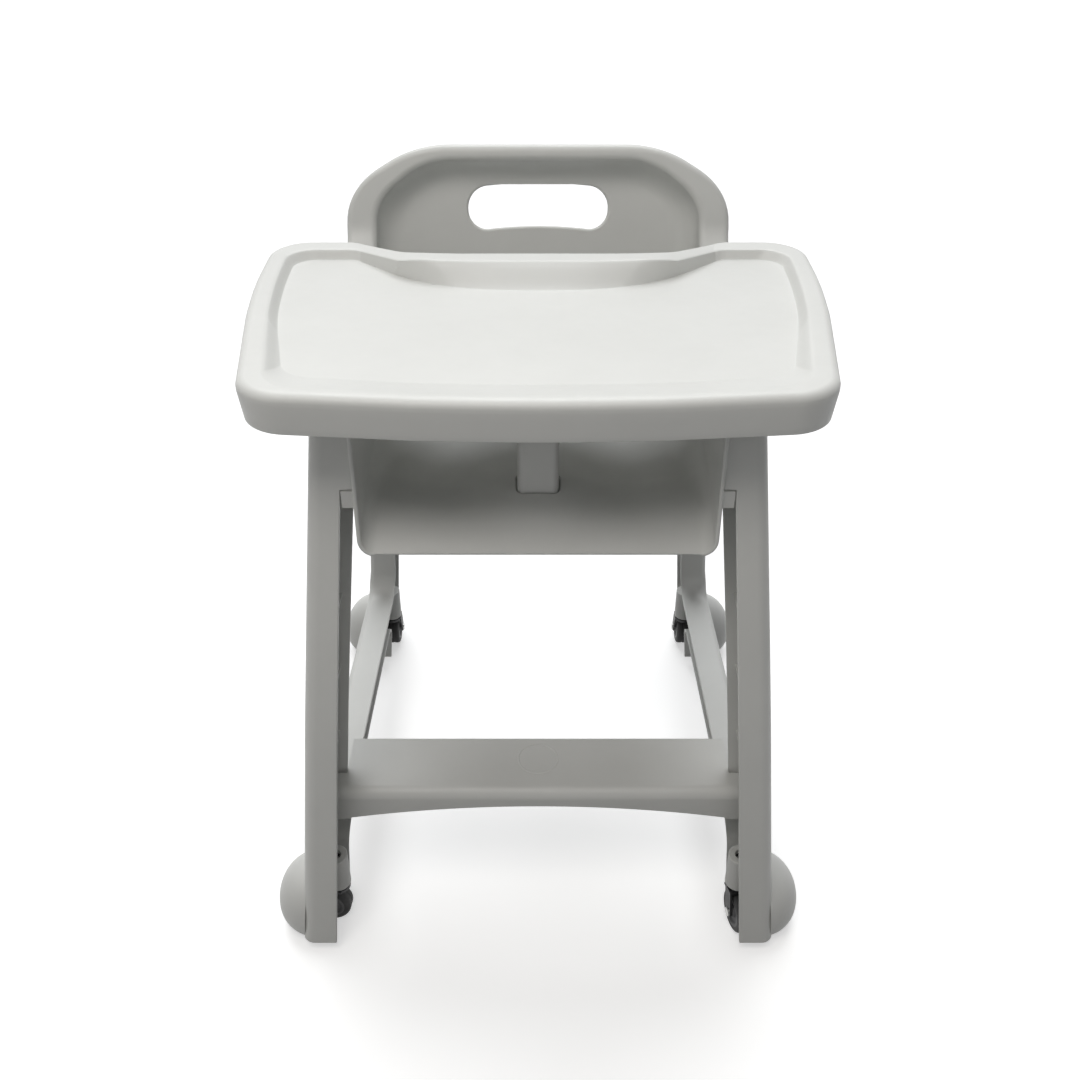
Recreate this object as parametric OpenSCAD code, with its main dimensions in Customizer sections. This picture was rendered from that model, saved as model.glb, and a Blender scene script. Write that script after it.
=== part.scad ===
// Restaurant-style baby high chair: two moulded side frames on swivel castors,
// a one-piece bucket seat, a footrest and a lift-off tray with its crotch post.
// Origin on the floor under the middle of the chair, +Z up, the child faces -Y.

/* [Side frames] */
// Height at which the legs end above the floor
foot_z = 15; // [12:1:25]
// Outer face of a frame at the floor, from the middle of the chair
frame_out_x = 266; // [255:0.5:275]
// Inward lean of a frame's outer face, per mm of height
frame_lean = 0.0963; // [0.08:0.005:0.11]
// Inner edge of the leg channel at the floor, from the middle of the chair
frame_in_x = 227.2; // [220:0.5:235]
// Inward lean of the channel's inner edge, per mm of height
channel_lean = 0.083; // [0.07:0.005:0.09]
// Inward run of a frame towards the back of the chair, per mm of depth
frame_toe = 0.01; // [0:0.002:0.02]
// Wall thickness of the side frames
frame_wall = 3.5; // [3:0.25:4.5]
// Outer rounding along the leg edges
frame_round = 14; // [8:1:16]
// Rounding along the window edge
window_round = 7; // [4:1:9]
// Half the wheelbase over the leg ends, front to back
foot_y = 297; // [285:1:305]
// Depth of a foot, front to back
foot_depth = 98; // [94:1:106]
// Height of the side rail's top at the front leg
rail_top_front = 124; // [118:1:140]
// Height of the side rail's top at the rear leg
rail_top_rear = 110; // [106:1:130]
// Height of the side rail's underside at the front
rail_low_front = 90; // [84:1:94]
// Height of the side rail's underside at the rear
rail_low_rear = 73; // [70:1:80]
// Rise of the rail's arched underside
rail_arch = 5; // [2:1:10]
// Height of the window's top edge
window_top = 512; // [495:1:518]

/* [Foot hoods] */
// Half the overall width, to the outside of the front hoods
hood_half = 297; // [290:0.5:302]
// Radius of the hood over each castor, in plan
hood_r = 46; // [44:0.5:50]
// Rise of the hood above its widest level
hood_rise = 62; // [55:1:70]
// Drop of the hood below its widest level
hood_drop = 40; // [36:1:46]
// Height of the hood's widest level
hood_z = 30; // [26:1:34]
// Wall thickness of the hood
hood_wall = 3; // [2.5:0.25:4]

/* [Castors] */
// Wheel diameter
wheel_d = 50; // [46:1:52]
// Wheel width
wheel_w = 19; // [16:1:20]
// Distance of a swivel axis from the middle of the chair, front pair
swivel_x = 227; // [224:1:230]
// Distance of a swivel axis from the middle of the chair, front to back
swivel_y = 247; // [245:1:249]
// Trail of the wheel axle behind the swivel axis
trail = 13; // [10:1:14]
// Diameter of the castor stem
stem_d = 10; // [8:0.5:11]
// Outer diameter of the boss that holds the stem sleeve
boss_d = 28; // [26:1:30]
// Height of the boss's lower end
boss_z = 58; // [56:1:60]
// Length of the boss
boss_h = 46; // [40:1:55]
// Diameter of the wheel axle
axle_d = 6; // [5:0.5:8]

/* [Seat] */
// Wall thickness of the seat shell
seat_wall = 4; // [3:0.25:5]
// Inner half width of the seat at the front
seat_half = 165; // [160:1:166]
// Inner half width of the seat at the back
back_half = 188; // [180:1:189]
// Height of the arms
arm_z = 640; // [630:1:650]
// Height of the seat pan at its lowest
pan_z = 504; // [500:1:508]
// Height of the ridge at the front of the pan
ridge_z = 528; // [520:1:532]
// Height of the front lip
lip_z = 491; // [485:1:496]
// Distance of the front lip from the middle of the chair
lip_y = 215; // [212:1:218]
// Height of the top of the backrest
back_top_z = 757.5; // [740:0.5:780]
// Distance of the backrest's face at the top from the middle of the chair
back_top_y = 252; // [240:1:256]
// Recline of the backrest in degrees
recline = 12; // [10:0.5:14]
// Depth of the backrest's face behind its rim
back_depth = 38; // [36:1:42]
// Outer half width of the rim at the back
rim_half = 223; // [215:1:225]
// Width of the handle hole
handle_w = 160; // [130:1:180]
// Height of the handle hole
handle_h = 46; // [36:1:50]
// Depth of the mounting ledge's section
ledge_h = 18; // [14:1:20]

/* [Tray] */
// Half width of the tray at the back corners
tray_half = 291; // [280:1:295]
// Distance of the tray's front edge from the middle of the chair
tray_front = 277; // [265:1:282]
// Distance of the tray's back corners from the middle of the chair
tray_back = 122; // [112:1:126]
// Height of the tray rim
rim_z = 678; // [670:1:684]
// Rise of the rim at the child's side
crest = 12; // [0:1:18]
// Depth of the dish below the rim
dish = 10; // [6:1:14]
// Wall thickness of the tray
tray_wall = 3.5; // [2.5:0.25:4]
// Width of the crotch post
post_w = 40; // [34:1:44]
// Depth of the crotch post, front to back
post_t = 28; // [24:1:32]
// Distance of the crotch post's middle in front of the middle of the chair
post_y = 150; // [146:1:154]
// How far the tray lifts until the post is clear of its socket
lift = 60; // [40:1:120]

/* [Footrest] */
// Height of the footrest's top
rest_z = 190; // [180:1:200]
// Distance of the footrest's front face from the middle of the chair
rest_front = 235; // [230:1:238]
// Depth of the footrest, front to back
rest_depth = 85; // [75:1:95]
// Height of the footrest's front face at its ends
rest_h = 41.5; // [34:0.5:44]
// Rise of the arch under the footrest
rest_arch = 19; // [10:1:22]
// Wall thickness of the footrest
rest_wall = 4; // [3:0.25:5]

/* [Hardware] */
// Shank diameter of the frame bolts
bolt_d = 6; // [5:0.5:8]
// Head diameter of the frame bolts
bolt_head_d = 13; // [11:0.5:14]
// Head height of the frame bolts
bolt_head_h = 4; // [3:0.25:4.5]
// Clearance of a piece that plugs into another
fit_gap = 0.3; // [0.2:0.05:0.5]
// Radial running clearance of stems and axles
run_gap = 0.05; // [0.02:0.01:0.09]

/* [Hidden] */
$fn = 48;

platinum = [0.83, 0.84, 0.82];
castor_black = [0.1, 0.1, 0.11];
steel = [0.72, 0.73, 0.75];

// ---- helpers -------------------------------------------------------------

function unit(v) = v / norm(v);
function mix(a, b, t) = a + (b - a) * t;
function ease(a, b, v) = let (t = min(1, max(0, (v - a) / (b - a)))) t * t * (3 - 2 * t);
function turn(a, b) = a[0] * b[1] - a[1] * b[0];

// Round one corner b of a path a-b-c with radius r, as k points.
function corner(a, b, c, r, k) =
    let (u = unit(a - b), v = unit(c - b),
        half = acos(max(-1, min(1, u * v))) / 2,
        mid = b + unit(u + v) * r / sin(half),
        first = b + u * r / tan(half) - mid,
        sweep = (180 - 2 * half) * (turn(b - a, c - b) > 0 ? 1 : -1),
        start = atan2(first[1], first[0]))
    [for (i = [0:k - 1]) mid + r * [cos(start + sweep * i / (k - 1)), sin(start + sweep * i / (k - 1))]];

// A closed outline from corners [x, y, radius, points]; one point means a plain vertex.
function outline(c) = let (n = len(c)) [for (i = [0:n - 1])
    let (b = c[i], a = c[(i + n - 1) % n], d = c[(i + 1) % n])
    each (b[3] == 1 ? [[b[0], b[1]]] : corner([a[0], a[1]], [b[0], b[1]], [d[0], d[1]], b[2], b[3]))];

// The inward normal at each point of a closed counter-clockwise outline.
function normals(p) = let (n = len(p)) [for (i = [0:n - 1])
    let (t = unit(p[(i + 1) % n] - p[(i + n - 1) % n])) [-t[1], t[0]]];
function inset(p, q, d) = [for (i = [0:len(p) - 1]) p[i] + q[i] * d];

// Skin a stack of rings of equal length. Closed at both ends by its first and last ring,
// or run round to the first ring again.
module skin(rows, ends = true, flip = false) {
    m = len(rows);
    n = len(rows[0]);
    function id(i, j) = (i % m) * n + j % n;
    quads = [for (i = [0:(ends ? m - 2 : m - 1)]) for (j = [0:n - 1])
        each [[id(i, j), id(i, j + 1), id(i + 1, j + 1)], [id(i, j), id(i + 1, j + 1), id(i + 1, j)]]];
    caps = ends ? [[for (j = [n - 1:-1:0]) id(0, j)], [for (j = [0:n - 1]) id(m - 1, j)]] : [];
    all = concat(quads, caps);
    polyhedron([for (r = rows) each r],
        flip ? all : [for (f = all) [for (i = [len(f) - 1:-1:0]) f[i]]], convexity = 8);
}

// ---- side frames ---------------------------------------------------------

frame_top = arm_z - seat_wall;
step_z = frame_top - 81;
top_front = 193;
top_rear = 228;
knee_z = 300;
knee_front = 257;
knee_rear = 268;
knee_r = 1500;
foot_in = foot_y - foot_depth;
notch_z = 48;
step = 0.4;
lip_step_z = step_z + 1;
// Depths at which the seat's side wall bends, so that the frame's top edge follows it.
wall_knots = [150, 120, 41, -3, -90];

function seat_wall_x(y) = seat_half + (back_half - seat_half) * ease(20, 171, y);
function out_x(y, z) = frame_out_x - frame_lean * z - frame_toe * (y + knee_front);
function lip_x(y, z) = z > frame_top - 14 ? seat_wall_x(y) + rim_roll + fit_gap
    : z > lip_step_z ? seat_wall_x(y) + seat_wall + fit_gap
    : frame_in_x - channel_lean * z - frame_toe * (y + knee_front);
function edge_y(z, knee, top) = z < knee_z ? mix(foot_y, knee, (z - foot_z) / (knee_z - foot_z))
    : mix(knee, top, (z - knee_z) / (frame_top - knee_z));
function front_y(z) = -edge_y(z, knee_front, top_front);
function rear_y(z) = edge_y(z, knee_rear, top_rear);
// Edges of the legs at the window.
function window_front(z) = z < knee_z ? -mix(209, 178, (z - rail_top_front) / (knee_z - rail_top_front))
    : -mix(178, 126, (z - knee_z) / (window_top - knee_z));
function window_rear(z) = z < knee_z ? mix(243, 214, (z - rail_top_rear) / (knee_z - rail_top_rear))
    : mix(214, 150, (z - knee_z) / (window_top - knee_z));

// Outline of the frame in side view, as [y, z], from the rear foot round under the rail.
frame_outline = outline([
    [rear_y(foot_z), foot_z, 0, 1],
    [rear_y(notch_z), notch_z, 0, 1],
    [knee_rear, knee_z, knee_r, 3],
    [rear_y(lip_step_z), lip_step_z, 0, 1],
    [rear_y(lip_step_z + step), lip_step_z + step, 0, 1],
    [top_rear, frame_top, 24, 6],
    for (y = wall_knots) [y, frame_top, 0, 1],
    [-top_front, frame_top, 24, 6],
    [front_y(lip_step_z + step), lip_step_z + step, 0, 1],
    [front_y(lip_step_z), lip_step_z, 0, 1],
    [-knee_front, knee_z, knee_r, 3],
    [front_y(notch_z), notch_z, 0, 1],
    [front_y(foot_z), foot_z, 0, 1],
    [-foot_in, foot_z, 0, 1],
    [-foot_in - 1, notch_z, 0, 1],
    [-foot_in - 4, rail_low_front, 26, 6],
    [0, (rail_low_front + rail_low_rear) / 2 + rail_arch, knee_r, 6],
    [foot_in + 4, rail_low_rear, 22, 6],
    [foot_in + 1, notch_z, 0, 1],
    [foot_in, foot_z, 0, 1]]);

// Outline of the window, point for point with the frame's outline.
window_outline = outline([
    [window_rear(rail_top_rear + 42), rail_top_rear + 42, 0, 1],
    [window_rear(rail_top_rear + 48), rail_top_rear + 48, 0, 1],
    [window_rear(knee_z), knee_z, knee_r, 3],
    [window_rear(window_top - 82), window_top - 82, 0, 1],
    [window_rear(window_top - 67), window_top - 67, 0, 1],
    [window_rear(window_top), window_top, 42, 6],
    [90, window_top, 0, 1], [60, window_top, 0, 1], [30, window_top, 0, 1],
    [0, window_top, 0, 1], [-50, window_top, 0, 1],
    [window_front(window_top), window_top, 42, 6],
    [window_front(window_top - 67), window_top - 67, 0, 1],
    [window_front(window_top - 82), window_top - 82, 0, 1],
    [window_front(knee_z), knee_z, knee_r, 3],
    [window_front(rail_top_front + 56), rail_top_front + 56, 0, 1],
    [window_front(rail_top_front + 47), rail_top_front + 47, 0, 1],
    [window_front(rail_top_front + 38), rail_top_front + 38, 0, 1],
    [window_front(rail_top_front + 29), rail_top_front + 29, 0, 1],
    [window_front(rail_top_front), rail_top_front, 24, 6],
    [0, (rail_top_front + rail_top_rear) / 2 + rail_arch / 2, knee_r, 6],
    [window_rear(rail_top_rear), rail_top_rear, 26, 6],
    [window_rear(rail_top_rear + 30), rail_top_rear + 30, 0, 1],
    [window_rear(rail_top_rear + 36), rail_top_rear + 36, 0, 1]]);

// Direction from a frame's outer edge into its face; level where a foot ends at the floor.
function edge_normals() = let (q = normals(frame_outline), foot_mid = (foot_y + foot_in) / 2)
    [for (i = [0:len(q) - 1]) let (y = frame_outline[i][0], z = frame_outline[i][1])
        z > foot_z + 0.1 ? q[i] : [(abs(y) > foot_mid ? -1 : 1) * sign(y), 0]];

// One moulded channel, open towards the chair, that runs round the window. Its face
// has a notch above each foot where the castor swings out into its hood.
module frame_channel() {
    on = edge_normals();
    wn = normals(window_outline);
    n = len(frame_outline);
    lip = [for (p = frame_outline) lip_x(p[0], p[1])];
    wlip = [for (p = window_outline) lip_x(p[0], p[1])];
    function at(p, back) = [for (v = p) [out_x(v[0], v[1]) - back, v[0], v[1]]];
    function to_lip(p, x) = [for (i = [0:n - 1]) [x[i], p[i][0], p[i][1]]];
    function outer(d) = inset(frame_outline, on, d);
    function inner(d) = inset(window_outline, wn, -d);
    w = window_round;
    t = frame_wall;
    // the outer rounding is smaller where the frame narrows beside the seat
    round_at = [for (i = [0:n - 1]) let (p = frame_outline[i])
        max(t + 0.5, min(frame_round, out_x(p[0], p[1]) - lip[i] - 0.5))];
    function edge_ring(in, back) = [for (i = [0:n - 1]) let (r = round_at[i],
        v = frame_outline[i] + on[i] * (in[0] + in[1] * r))
        [out_x(v[0], v[1]) - back[0] - back[1] * r, v[0], v[1]]];
    rings = [
        to_lip(outer(0), lip),
        for (a = [0:30:90]) edge_ring([0, 1 - cos(a)], [0, 1 - sin(a)]),
        for (a = [90:-45:0]) at(inner(w * (1 - cos(a))), w * (1 - sin(a))),
        to_lip(inner(0), wlip),
        to_lip(inner(t), wlip),
        at(inner(t), w),
        at(inner(w), t),
        edge_ring([0, 1], [t, 0]),
        edge_ring([t, 0], [0, 1]),
        to_lip(outer(t), lip)];
    m = len(rings);
    // the first point of each foot: the notch level at its front and at its rear foot
    front = [for (i = [0:n - 1]) if (frame_outline[i] == [front_y(notch_z), notch_z]) i][0];
    feet = [front, n - 2];
    face = 4;
    back = 11;
    function id(i, j) = (i % m) * n + (j + n) % n;
    function in_foot(j) = len([for (f = feet) if (j == f || j == (f + 1) % n || j == (f + 2) % n) 1]) > 0;
    function foot_floor(j) = len([for (f = feet) if (j == (f + 1) % n) 1]) > 0;
    edge_rings = [0, 1, 2, 3, face, back + 1, m - 2, m - 1];
    faces = concat(
        [for (i = [0:m - 1]) for (j = [0:n - 1])
            if (!(in_foot(j) && (i == face || i == back)) && !(foot_floor(j) && (i < face || i > back)))
                each [[id(i, j), id(i, j + 1), id(i + 1, j + 1)], [id(i, j), id(i + 1, j + 1), id(i + 1, j)]]],
        [for (f = feet) each [
            concat([id(face, f), id(face, f + 3)], [for (k = [3:-1:0]) id(face + 1, f + k)]),
            concat([for (k = [0:3]) id(back, f + k)], [id(back + 1, f + 3), id(back + 1, f)]),
            [id(face, f + 3), id(face, f), id(back + 1, f), id(back + 1, f + 3)],
            [id(face, f), id(face, f + 1), id(back + 1, f + 1), id(back + 1, f)],
            [id(face, f + 2), id(face, f + 3), id(back + 1, f + 3), id(back + 1, f + 2)],
            [for (k = [len(edge_rings) - 1:-1:0]) id(edge_rings[k], f + 1)],
            [for (k = edge_rings) id(k, f + 2)]]]);
    polyhedron([for (q = rings) each q],
        [for (q = faces) [for (i = [len(q) - 1:-1:0]) q[i]]], convexity = 8);
}

// Places where a closed path crosses depth v (axis 0) or height v (axis 1), in its order.
function crossing(p, axis, v) = [for (i = [0:len(p) - 1])
    let (a = p[i], b = p[(i + 1) % len(p)])
    if ((a[axis] > v) != (b[axis] > v)) mix(a[1 - axis], b[1 - axis], (v - a[axis]) / (b[axis] - a[axis]))];

// Corner of a rib that ends half way through the walls under an edge rounding r,
// as [distance from the edge, distance from the outer face]; square where r is 0.
function rib_corner(r) = r == 0 ? [[0, wall_mid]]
    : let (k = r - (r - wall_mid) * cos(45)) [[wall_mid, r], [k, k], [r, wall_mid]];

// Level plate across a leg's channel at height z, between its edges y0 and y1.
module channel_rib(z, y0, r0, y1, r1) {
    x_in = lip_x(y0, z) + 8;
    low = rib_corner(r0);
    high = rib_corner(r1);
    translate([0, 0, z - rib_t / 2]) linear_extrude(rib_t) polygon(concat(
        [[x_in, y0 + low[0][0]]],
        [for (c = low) [out_x(y0, z) - c[1], y0 + c[0]]],
        [for (i = [len(high) - 1:-1:0]) [out_x(y1, z) - high[i][1], y1 - high[i][0]]],
        [[x_in, y1 - high[0][0]]]));
}

// Upright plate across the channel at depth y, from x_in to the leaning outer wall.
module upright_rib(y, z0, r0, z1, r1, x_in) {
    low = rib_corner(r0);
    high = rib_corner(r1);
    translate([0, y + rib_t / 2, 0]) rotate([90, 0, 0]) linear_extrude(rib_t) polygon(concat(
        [[x_in, z0 + low[0][0]]],
        [for (c = low) [out_x(y, z0 + c[0]) - c[1], z0 + c[0]]],
        [for (i = [len(high) - 1:-1:0]) [out_x(y, z1 - high[i][0]) - high[i][1], z1 - high[i][0]]],
        [[x_in, z1 - high[0][0]]]));
}

// Half hood over one castor: a body of revolution that swells out of the leg.
module hood_solid(grow, low) {
    rotate_extrude($fn = 30) polygon(concat(
        [[0, hood_z + hood_rise + grow]],
        [for (a = [72:-18:0]) [(hood_r + grow) * cos(a), hood_z + (hood_rise + grow) * sin(a)]],
        [[(hood_r + grow) * cos(hood_end / 2), hood_z - (hood_drop + grow) * sin(hood_end / 2)],
            [(hood_r + grow) * cos(hood_end), low], [0, low]]));
}
hood_end = asin((hood_z - foot_z) / hood_drop);
function hood_x(s) = hood_half - hood_r - (s > 0 ? 2 * hood_y * frame_toe : 0);

// Hood as an open shell, as far as it stands out of the leg.
module hood(s) {
    intersection() {
        translate([hood_x(s), s * hood_y, 0]) difference() {
            hood_solid(0, foot_z);
            hood_solid(-hood_wall, foot_z - 1);
        }
        translate([out_x(s * hood_y, hood_z) - frame_wall + 0.5, s * hood_y - 60, 0]) cube([60, 120, 120]);
    }
}

hood_y = 246;
rib_t = 2.5;
// how deep ribs, webs, bosses and the shelf run into the outer wall
wall_mid = frame_wall / 2;
rib_levels = [240, 320, 400];
rib_depths = [-100, 0, 100];
shelf_front = 190;
shelf_rear = 200;
bolt_y = [-190, -60, 55];
ledge_z = step_z - ledge_h;
bolt_z = step_z - ledge_h / 2;
tie_y = -(rest_front - 14);
tie_z = [rest_z - 29, rest_z - 12];
boss_out_d = 20;
bore_gap = 0.3;

shelf_gap = 1.8;
function ledge_x(y) = lip_x(y, step_z) - fit_gap;

// Shelf that rests on the seat's ledge.
module frame_shelf() {
    translate([0, 0, step_z]) linear_extrude(3) polygon(concat(
        [for (i = [0:8]) let (y = mix(-shelf_front, shelf_rear, i / 8))
            [lip_x(y, lip_step_z + 1) + shelf_gap, y]],
        [[out_x(shelf_rear, step_z) - wall_mid, shelf_rear],
            [out_x(-shelf_front, step_z) - wall_mid, -shelf_front]]));
}

// Bosses for the castor stems, with their webs.
module stem_bosses() {
    for (s = [-1, 1]) {
        translate([swivel_at_x(s), s * swivel_y, boss_z]) cylinder(d = boss_d, h = boss_h, $fn = 28);
        for (a = [-9.5, 9.5]) upright_rib(s * swivel_y + a, boss_z + 1, 0, boss_z + boss_h - 2, 0, swivel_at_x(s));
    }
}

// Stiffening ribs of the legs, the rail and the upper panel.
module frame_ribs() {
    for (z = rib_levels) {
        legs = crossing(frame_outline, 1, z);
        window = crossing(window_outline, 1, z);
        channel_rib(z, legs[1], frame_round, window[1], window_round);
        channel_rib(z, window[0], window_round, legs[0], frame_round);
    }
    for (y = rib_depths) {
        window = crossing(window_outline, 0, y);
        upright_rib(y, crossing(frame_outline, 0, y)[1], frame_round, window[1], window_round, lip_x(y, 100) + 8);
        upright_rib(y, window[0], window_round, ledge_z - 1, 0, lip_x(y, window_top) + 6);
        upright_rib(y, step_z + 2, 0, frame_top - frame_round - 1, 0, lip_x(y, frame_top) + 3);
    }
}

module frame_right() {
    difference() {
        union() {
            frame_channel();
            for (s = [-1, 1]) hood(s);
            frame_shelf();
            stem_bosses();
            for (y = bolt_y) bolt_boss(y, bolt_z, lip_x(y, step_z));
            for (z = tie_z) bolt_boss(tie_y, z, tie_x);
            frame_ribs();
        }
        for (s = [-1, 1]) translate([swivel_at_x(s), s * swivel_y, boss_z - 1])
            cylinder(d = stem_d + 2 * sleeve_wall + 0.1, h = boss_h - 5, $fn = 32);
        for (y = bolt_y) bolt_hole(y, bolt_z, lip_x(y, step_z));
        for (z = tie_z) bolt_hole(tie_y, z, tie_x);
    }
}

function swivel_at_x(s) = swivel_x - (s > 0 ? 2 * swivel_y * frame_toe : 0);
sleeve_wall = 2;
tie_x = 222;

module bolt_boss(y, z, x) {
    translate([x, y, z]) rotate([0, 90, 0]) cylinder(d = boss_out_d, h = out_x(y, z) - wall_mid - x, $fn = 24);
}
// Bolt hole along X with a round pocket for the head in the outer face.
module bolt_hole(y, z, x) {
    r = bolt_d / 2 + bore_gap;
    head_r = bolt_head_d / 2 + bore_gap;
    face = seat_face(y, z) - x + 1;
    translate([x - 1, y, z]) rotate([0, 90, 0]) rotate_extrude($fn = 24)
        polygon([[0, 0], [r, 0], [r, face], [head_r, face], [head_r, face + 20], [0, face + 20]]);
}
function seat_face(y, z) = out_x(y, z) - bolt_head_h - 1;

module side_frame_right() {
    color(platinum) frame_right();
}

module side_frame_left() {
    color(platinum) mirror([1, 0, 0]) frame_right();
}

// ---- seat shell ----------------------------------------------------------

rim_top = 17;
rim_front_half = 212;
rim_roll = 7.5;
rim_drop = 16;
rim_r = 45;
rim_lead = 32;
pan_fillet = 30;
lip_fillet = 13;
back_fillet = 28;
core_corner = 60;
heel_r = 75;
back_tan = tan(recline);
up_back = [sin(recline), cos(recline)];
function back_y(z) = back_top_y - (back_top_z - z) * back_tan;

pan_front = [-lip_y, lip_z];
ridge = [-lip_y + 50, ridge_z];
heel = [back_y(pan_z), pan_z];
core_top_z = back_top_z - back_depth * sin(recline) - (rim_top + back_fillet) * cos(recline);
corner_z = core_top_z - core_corner * cos(recline);
rim_line_y = back_y(arm_z) - back_depth / cos(recline);
rim_bend = [rim_line_y - rim_r * tan(45 - recline / 2), arm_z];

// Stations along the middle of the shell in side view: lip, ridge, pan, heel and back.
heel_curve = corner(ridge, heel, [back_top_y, back_top_z], heel_r, 7);
spine = concat(
    [pan_front, mix(pan_front, ridge, 0.22)],
    corner(pan_front, ridge, heel, 90, 4),
    [for (y = [-110, -80, -50, 0, 50]) [y, mix(ridge_z, pan_z, (y - ridge[0]) / (heel[0] - ridge[0]))]],
    heel_curve,
    [for (k = [1:3]) let (z = mix(heel_curve[6][1], corner_z - 24, k / 3)) [back_y(z), z]]);
last = len(spine) - 1;
heel_i = 11;

// Length along the shell past the start of the heel, and the same along the rim.
heel_arc = heel_r * (90 - recline) * PI / 180;
rim_arc = rim_r * (90 - recline) * PI / 180;
sweep_z = 690;
function run_z(z) = heel_arc + (z - heel_curve[6][1]) / cos(recline);
function run(i) = i <= heel_i ? 0 : i < heel_i + 6 ? heel_arc * (i - heel_i) / 6 : run_z(spine[i][1]);
rim_full = rim_lead + rim_arc
    + (sweep_z + back_depth * sin(recline) - arm_z - rim_r * (1 - sin(recline))) / cos(recline);

// Edge of the rim in side view: level along the arm, a curve, then up along the back.
function rim_path(s) = s < rim_lead ? rim_bend - [rim_lead - s, 0]
    : s < rim_lead + rim_arc ? let (a = (s - rim_lead) / rim_r * 180 / PI) rim_bend + rim_r * [sin(a), 1 - cos(a)]
    : rim_bend + rim_r * [cos(recline), 1 - sin(recline)] + (s - rim_lead - rim_arc) * up_back;
function rim_at(s) = rim_path(s < run_z(sweep_z) ? s * rim_full / run_z(sweep_z) : rim_full + s - run_z(sweep_z));
function rim_of(i) = i > heel_i ? rim_at(run(i))
    : [spine[i][0] + max(0, 3 - i) * 3 + (rim_at(0)[0] - spine[heel_i][0]) * ease(-60, spine[heel_i][0], spine[i][0]),
        arm_z];

function fillet_at(s) = mix(pan_fillet, back_fillet, ease(0, run_z(sweep_z), s));
function fillet_of(i) = i > heel_i ? fillet_at(run(i)) : mix(lip_fillet, pan_fillet, ease(-195, -60, spine[i][0]));
function core_half(i) = seat_wall_x(rim_of(i)[0]) - fillet_of(i);

// Relief of the pan: a low saddle in the middle and a hollow for each thigh.
function relief(x, y) = (6 * exp(-pow(x / 40, 2)) - 8 * exp(-pow((abs(x) - 88) / 38, 2)))
    * ease(-205, -150, y) * (1 - ease(0, 90, y));

flat_cols = 4;
turn_cols = 6;
cols = 2 * (flat_cols + turn_cols);
top_rows = 4;
function side_j(j) = j - flat_cols - turn_cols;
function psi(j) = max(0, abs(side_j(j)) - flat_cols) / turn_cols * 90;

// A row of the shell's inner face, or of the face behind it.
function core_row(i, back) = let (p = spine[i], h = core_half(i),
        t = unit(spine[min(i + 1, last)] - spine[max(i - 1, 0)]) * back)
    [for (j = [0:cols]) let (x = side_j(j) / (cols / 2) * h) [x, p[0] + t[1], p[1] + relief(x, p[0]) - t[0]]];
// A row at the top of the back, where the corners round over.
function top_row(k, back) = let (h = core_half(last), c = h - core_corner, z0 = spine[last][1])
    [for (j = [0:cols]) let (s = sign(side_j(j)),
        x1 = psi(j) > 0 ? s * (c + core_corner * sin(psi(j))) : side_j(j) / flat_cols * c,
        z1 = corner_z + core_corner * cos(psi(j)) * cos(recline),
        x = mix(side_j(j) / (cols / 2) * h, x1, k / top_rows), z = mix(z0, z1, k / top_rows))
        [x, back_y(z) + back * cos(recline), z - back * sin(recline)]];
function core(back) = concat([for (i = [0:last]) core_row(i, back)], [for (k = [1:top_rows]) top_row(k, back)]);

core_in = core(0);
core_out = core(seat_wall);
rows_n = len(core_in);
// Edge of the core, up the left, over the top and down the right, as [row, column].
edge = concat([for (r = [0:rows_n - 1]) [r, 0]], [for (j = [1:cols - 1]) [rows_n - 1, j]],
    [for (r = [rows_n - 1:-1:0]) [r, cols]]);

// Section from the core's edge over fillet, wall and rim, as [outward, forward].
function rim_section(r, d, f, t) = concat(
    [for (a = [22.5:22.5:90]) [(r + t) * sin(a), r - (r + t) * cos(a)]],
    [for (a = [180:-45:90]) [r + rim_roll + (rim_roll - t) * cos(a), d - rim_roll + (rim_roll - t) * sin(a)]],
    [for (a = [90:-45:0]) [r + f - rim_roll + (rim_roll - t) * cos(a), d - rim_roll + (rim_roll - t) * sin(a)]],
    [[r + f - t, d - rim_drop]]);

function rim_points(q, t) = let (e = edge[q], b = core_in[e[0]][e[1]],
        over = e[0] == rows_n - 1 && e[1] > 0 && e[1] < cols,
        s = e[0] <= last ? run(e[0]) : run_z(b[2]),
        top = e[0] <= last ? rim_of(e[0]) : rim_at(s),
        rise = [0, top[0] - b[1], top[1] - b[2]], d = norm(rise), w = rise / d,
        r = e[0] <= last ? fillet_of(e[0]) : fillet_at(s),
        side = side_j(e[1]) > 0 ? 1 : -1, g = psi(e[1]),
        o = over ? [side_j(e[1]) == 0 ? 0 : side * sin(g), up_back[0] * cos(g), up_back[1] * cos(g)] : [side, 0, 0],
        f = over ? mix(rim_top, rim_half - back_half, pow(sin(g), 2))
            : mix(rim_front_half, rim_half, ease(-100, 150, top[0])) - abs(b[0]) - r)
    [for (c = rim_section(r, d, f, t)) b + o * c[0] + w * c[1]];

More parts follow.
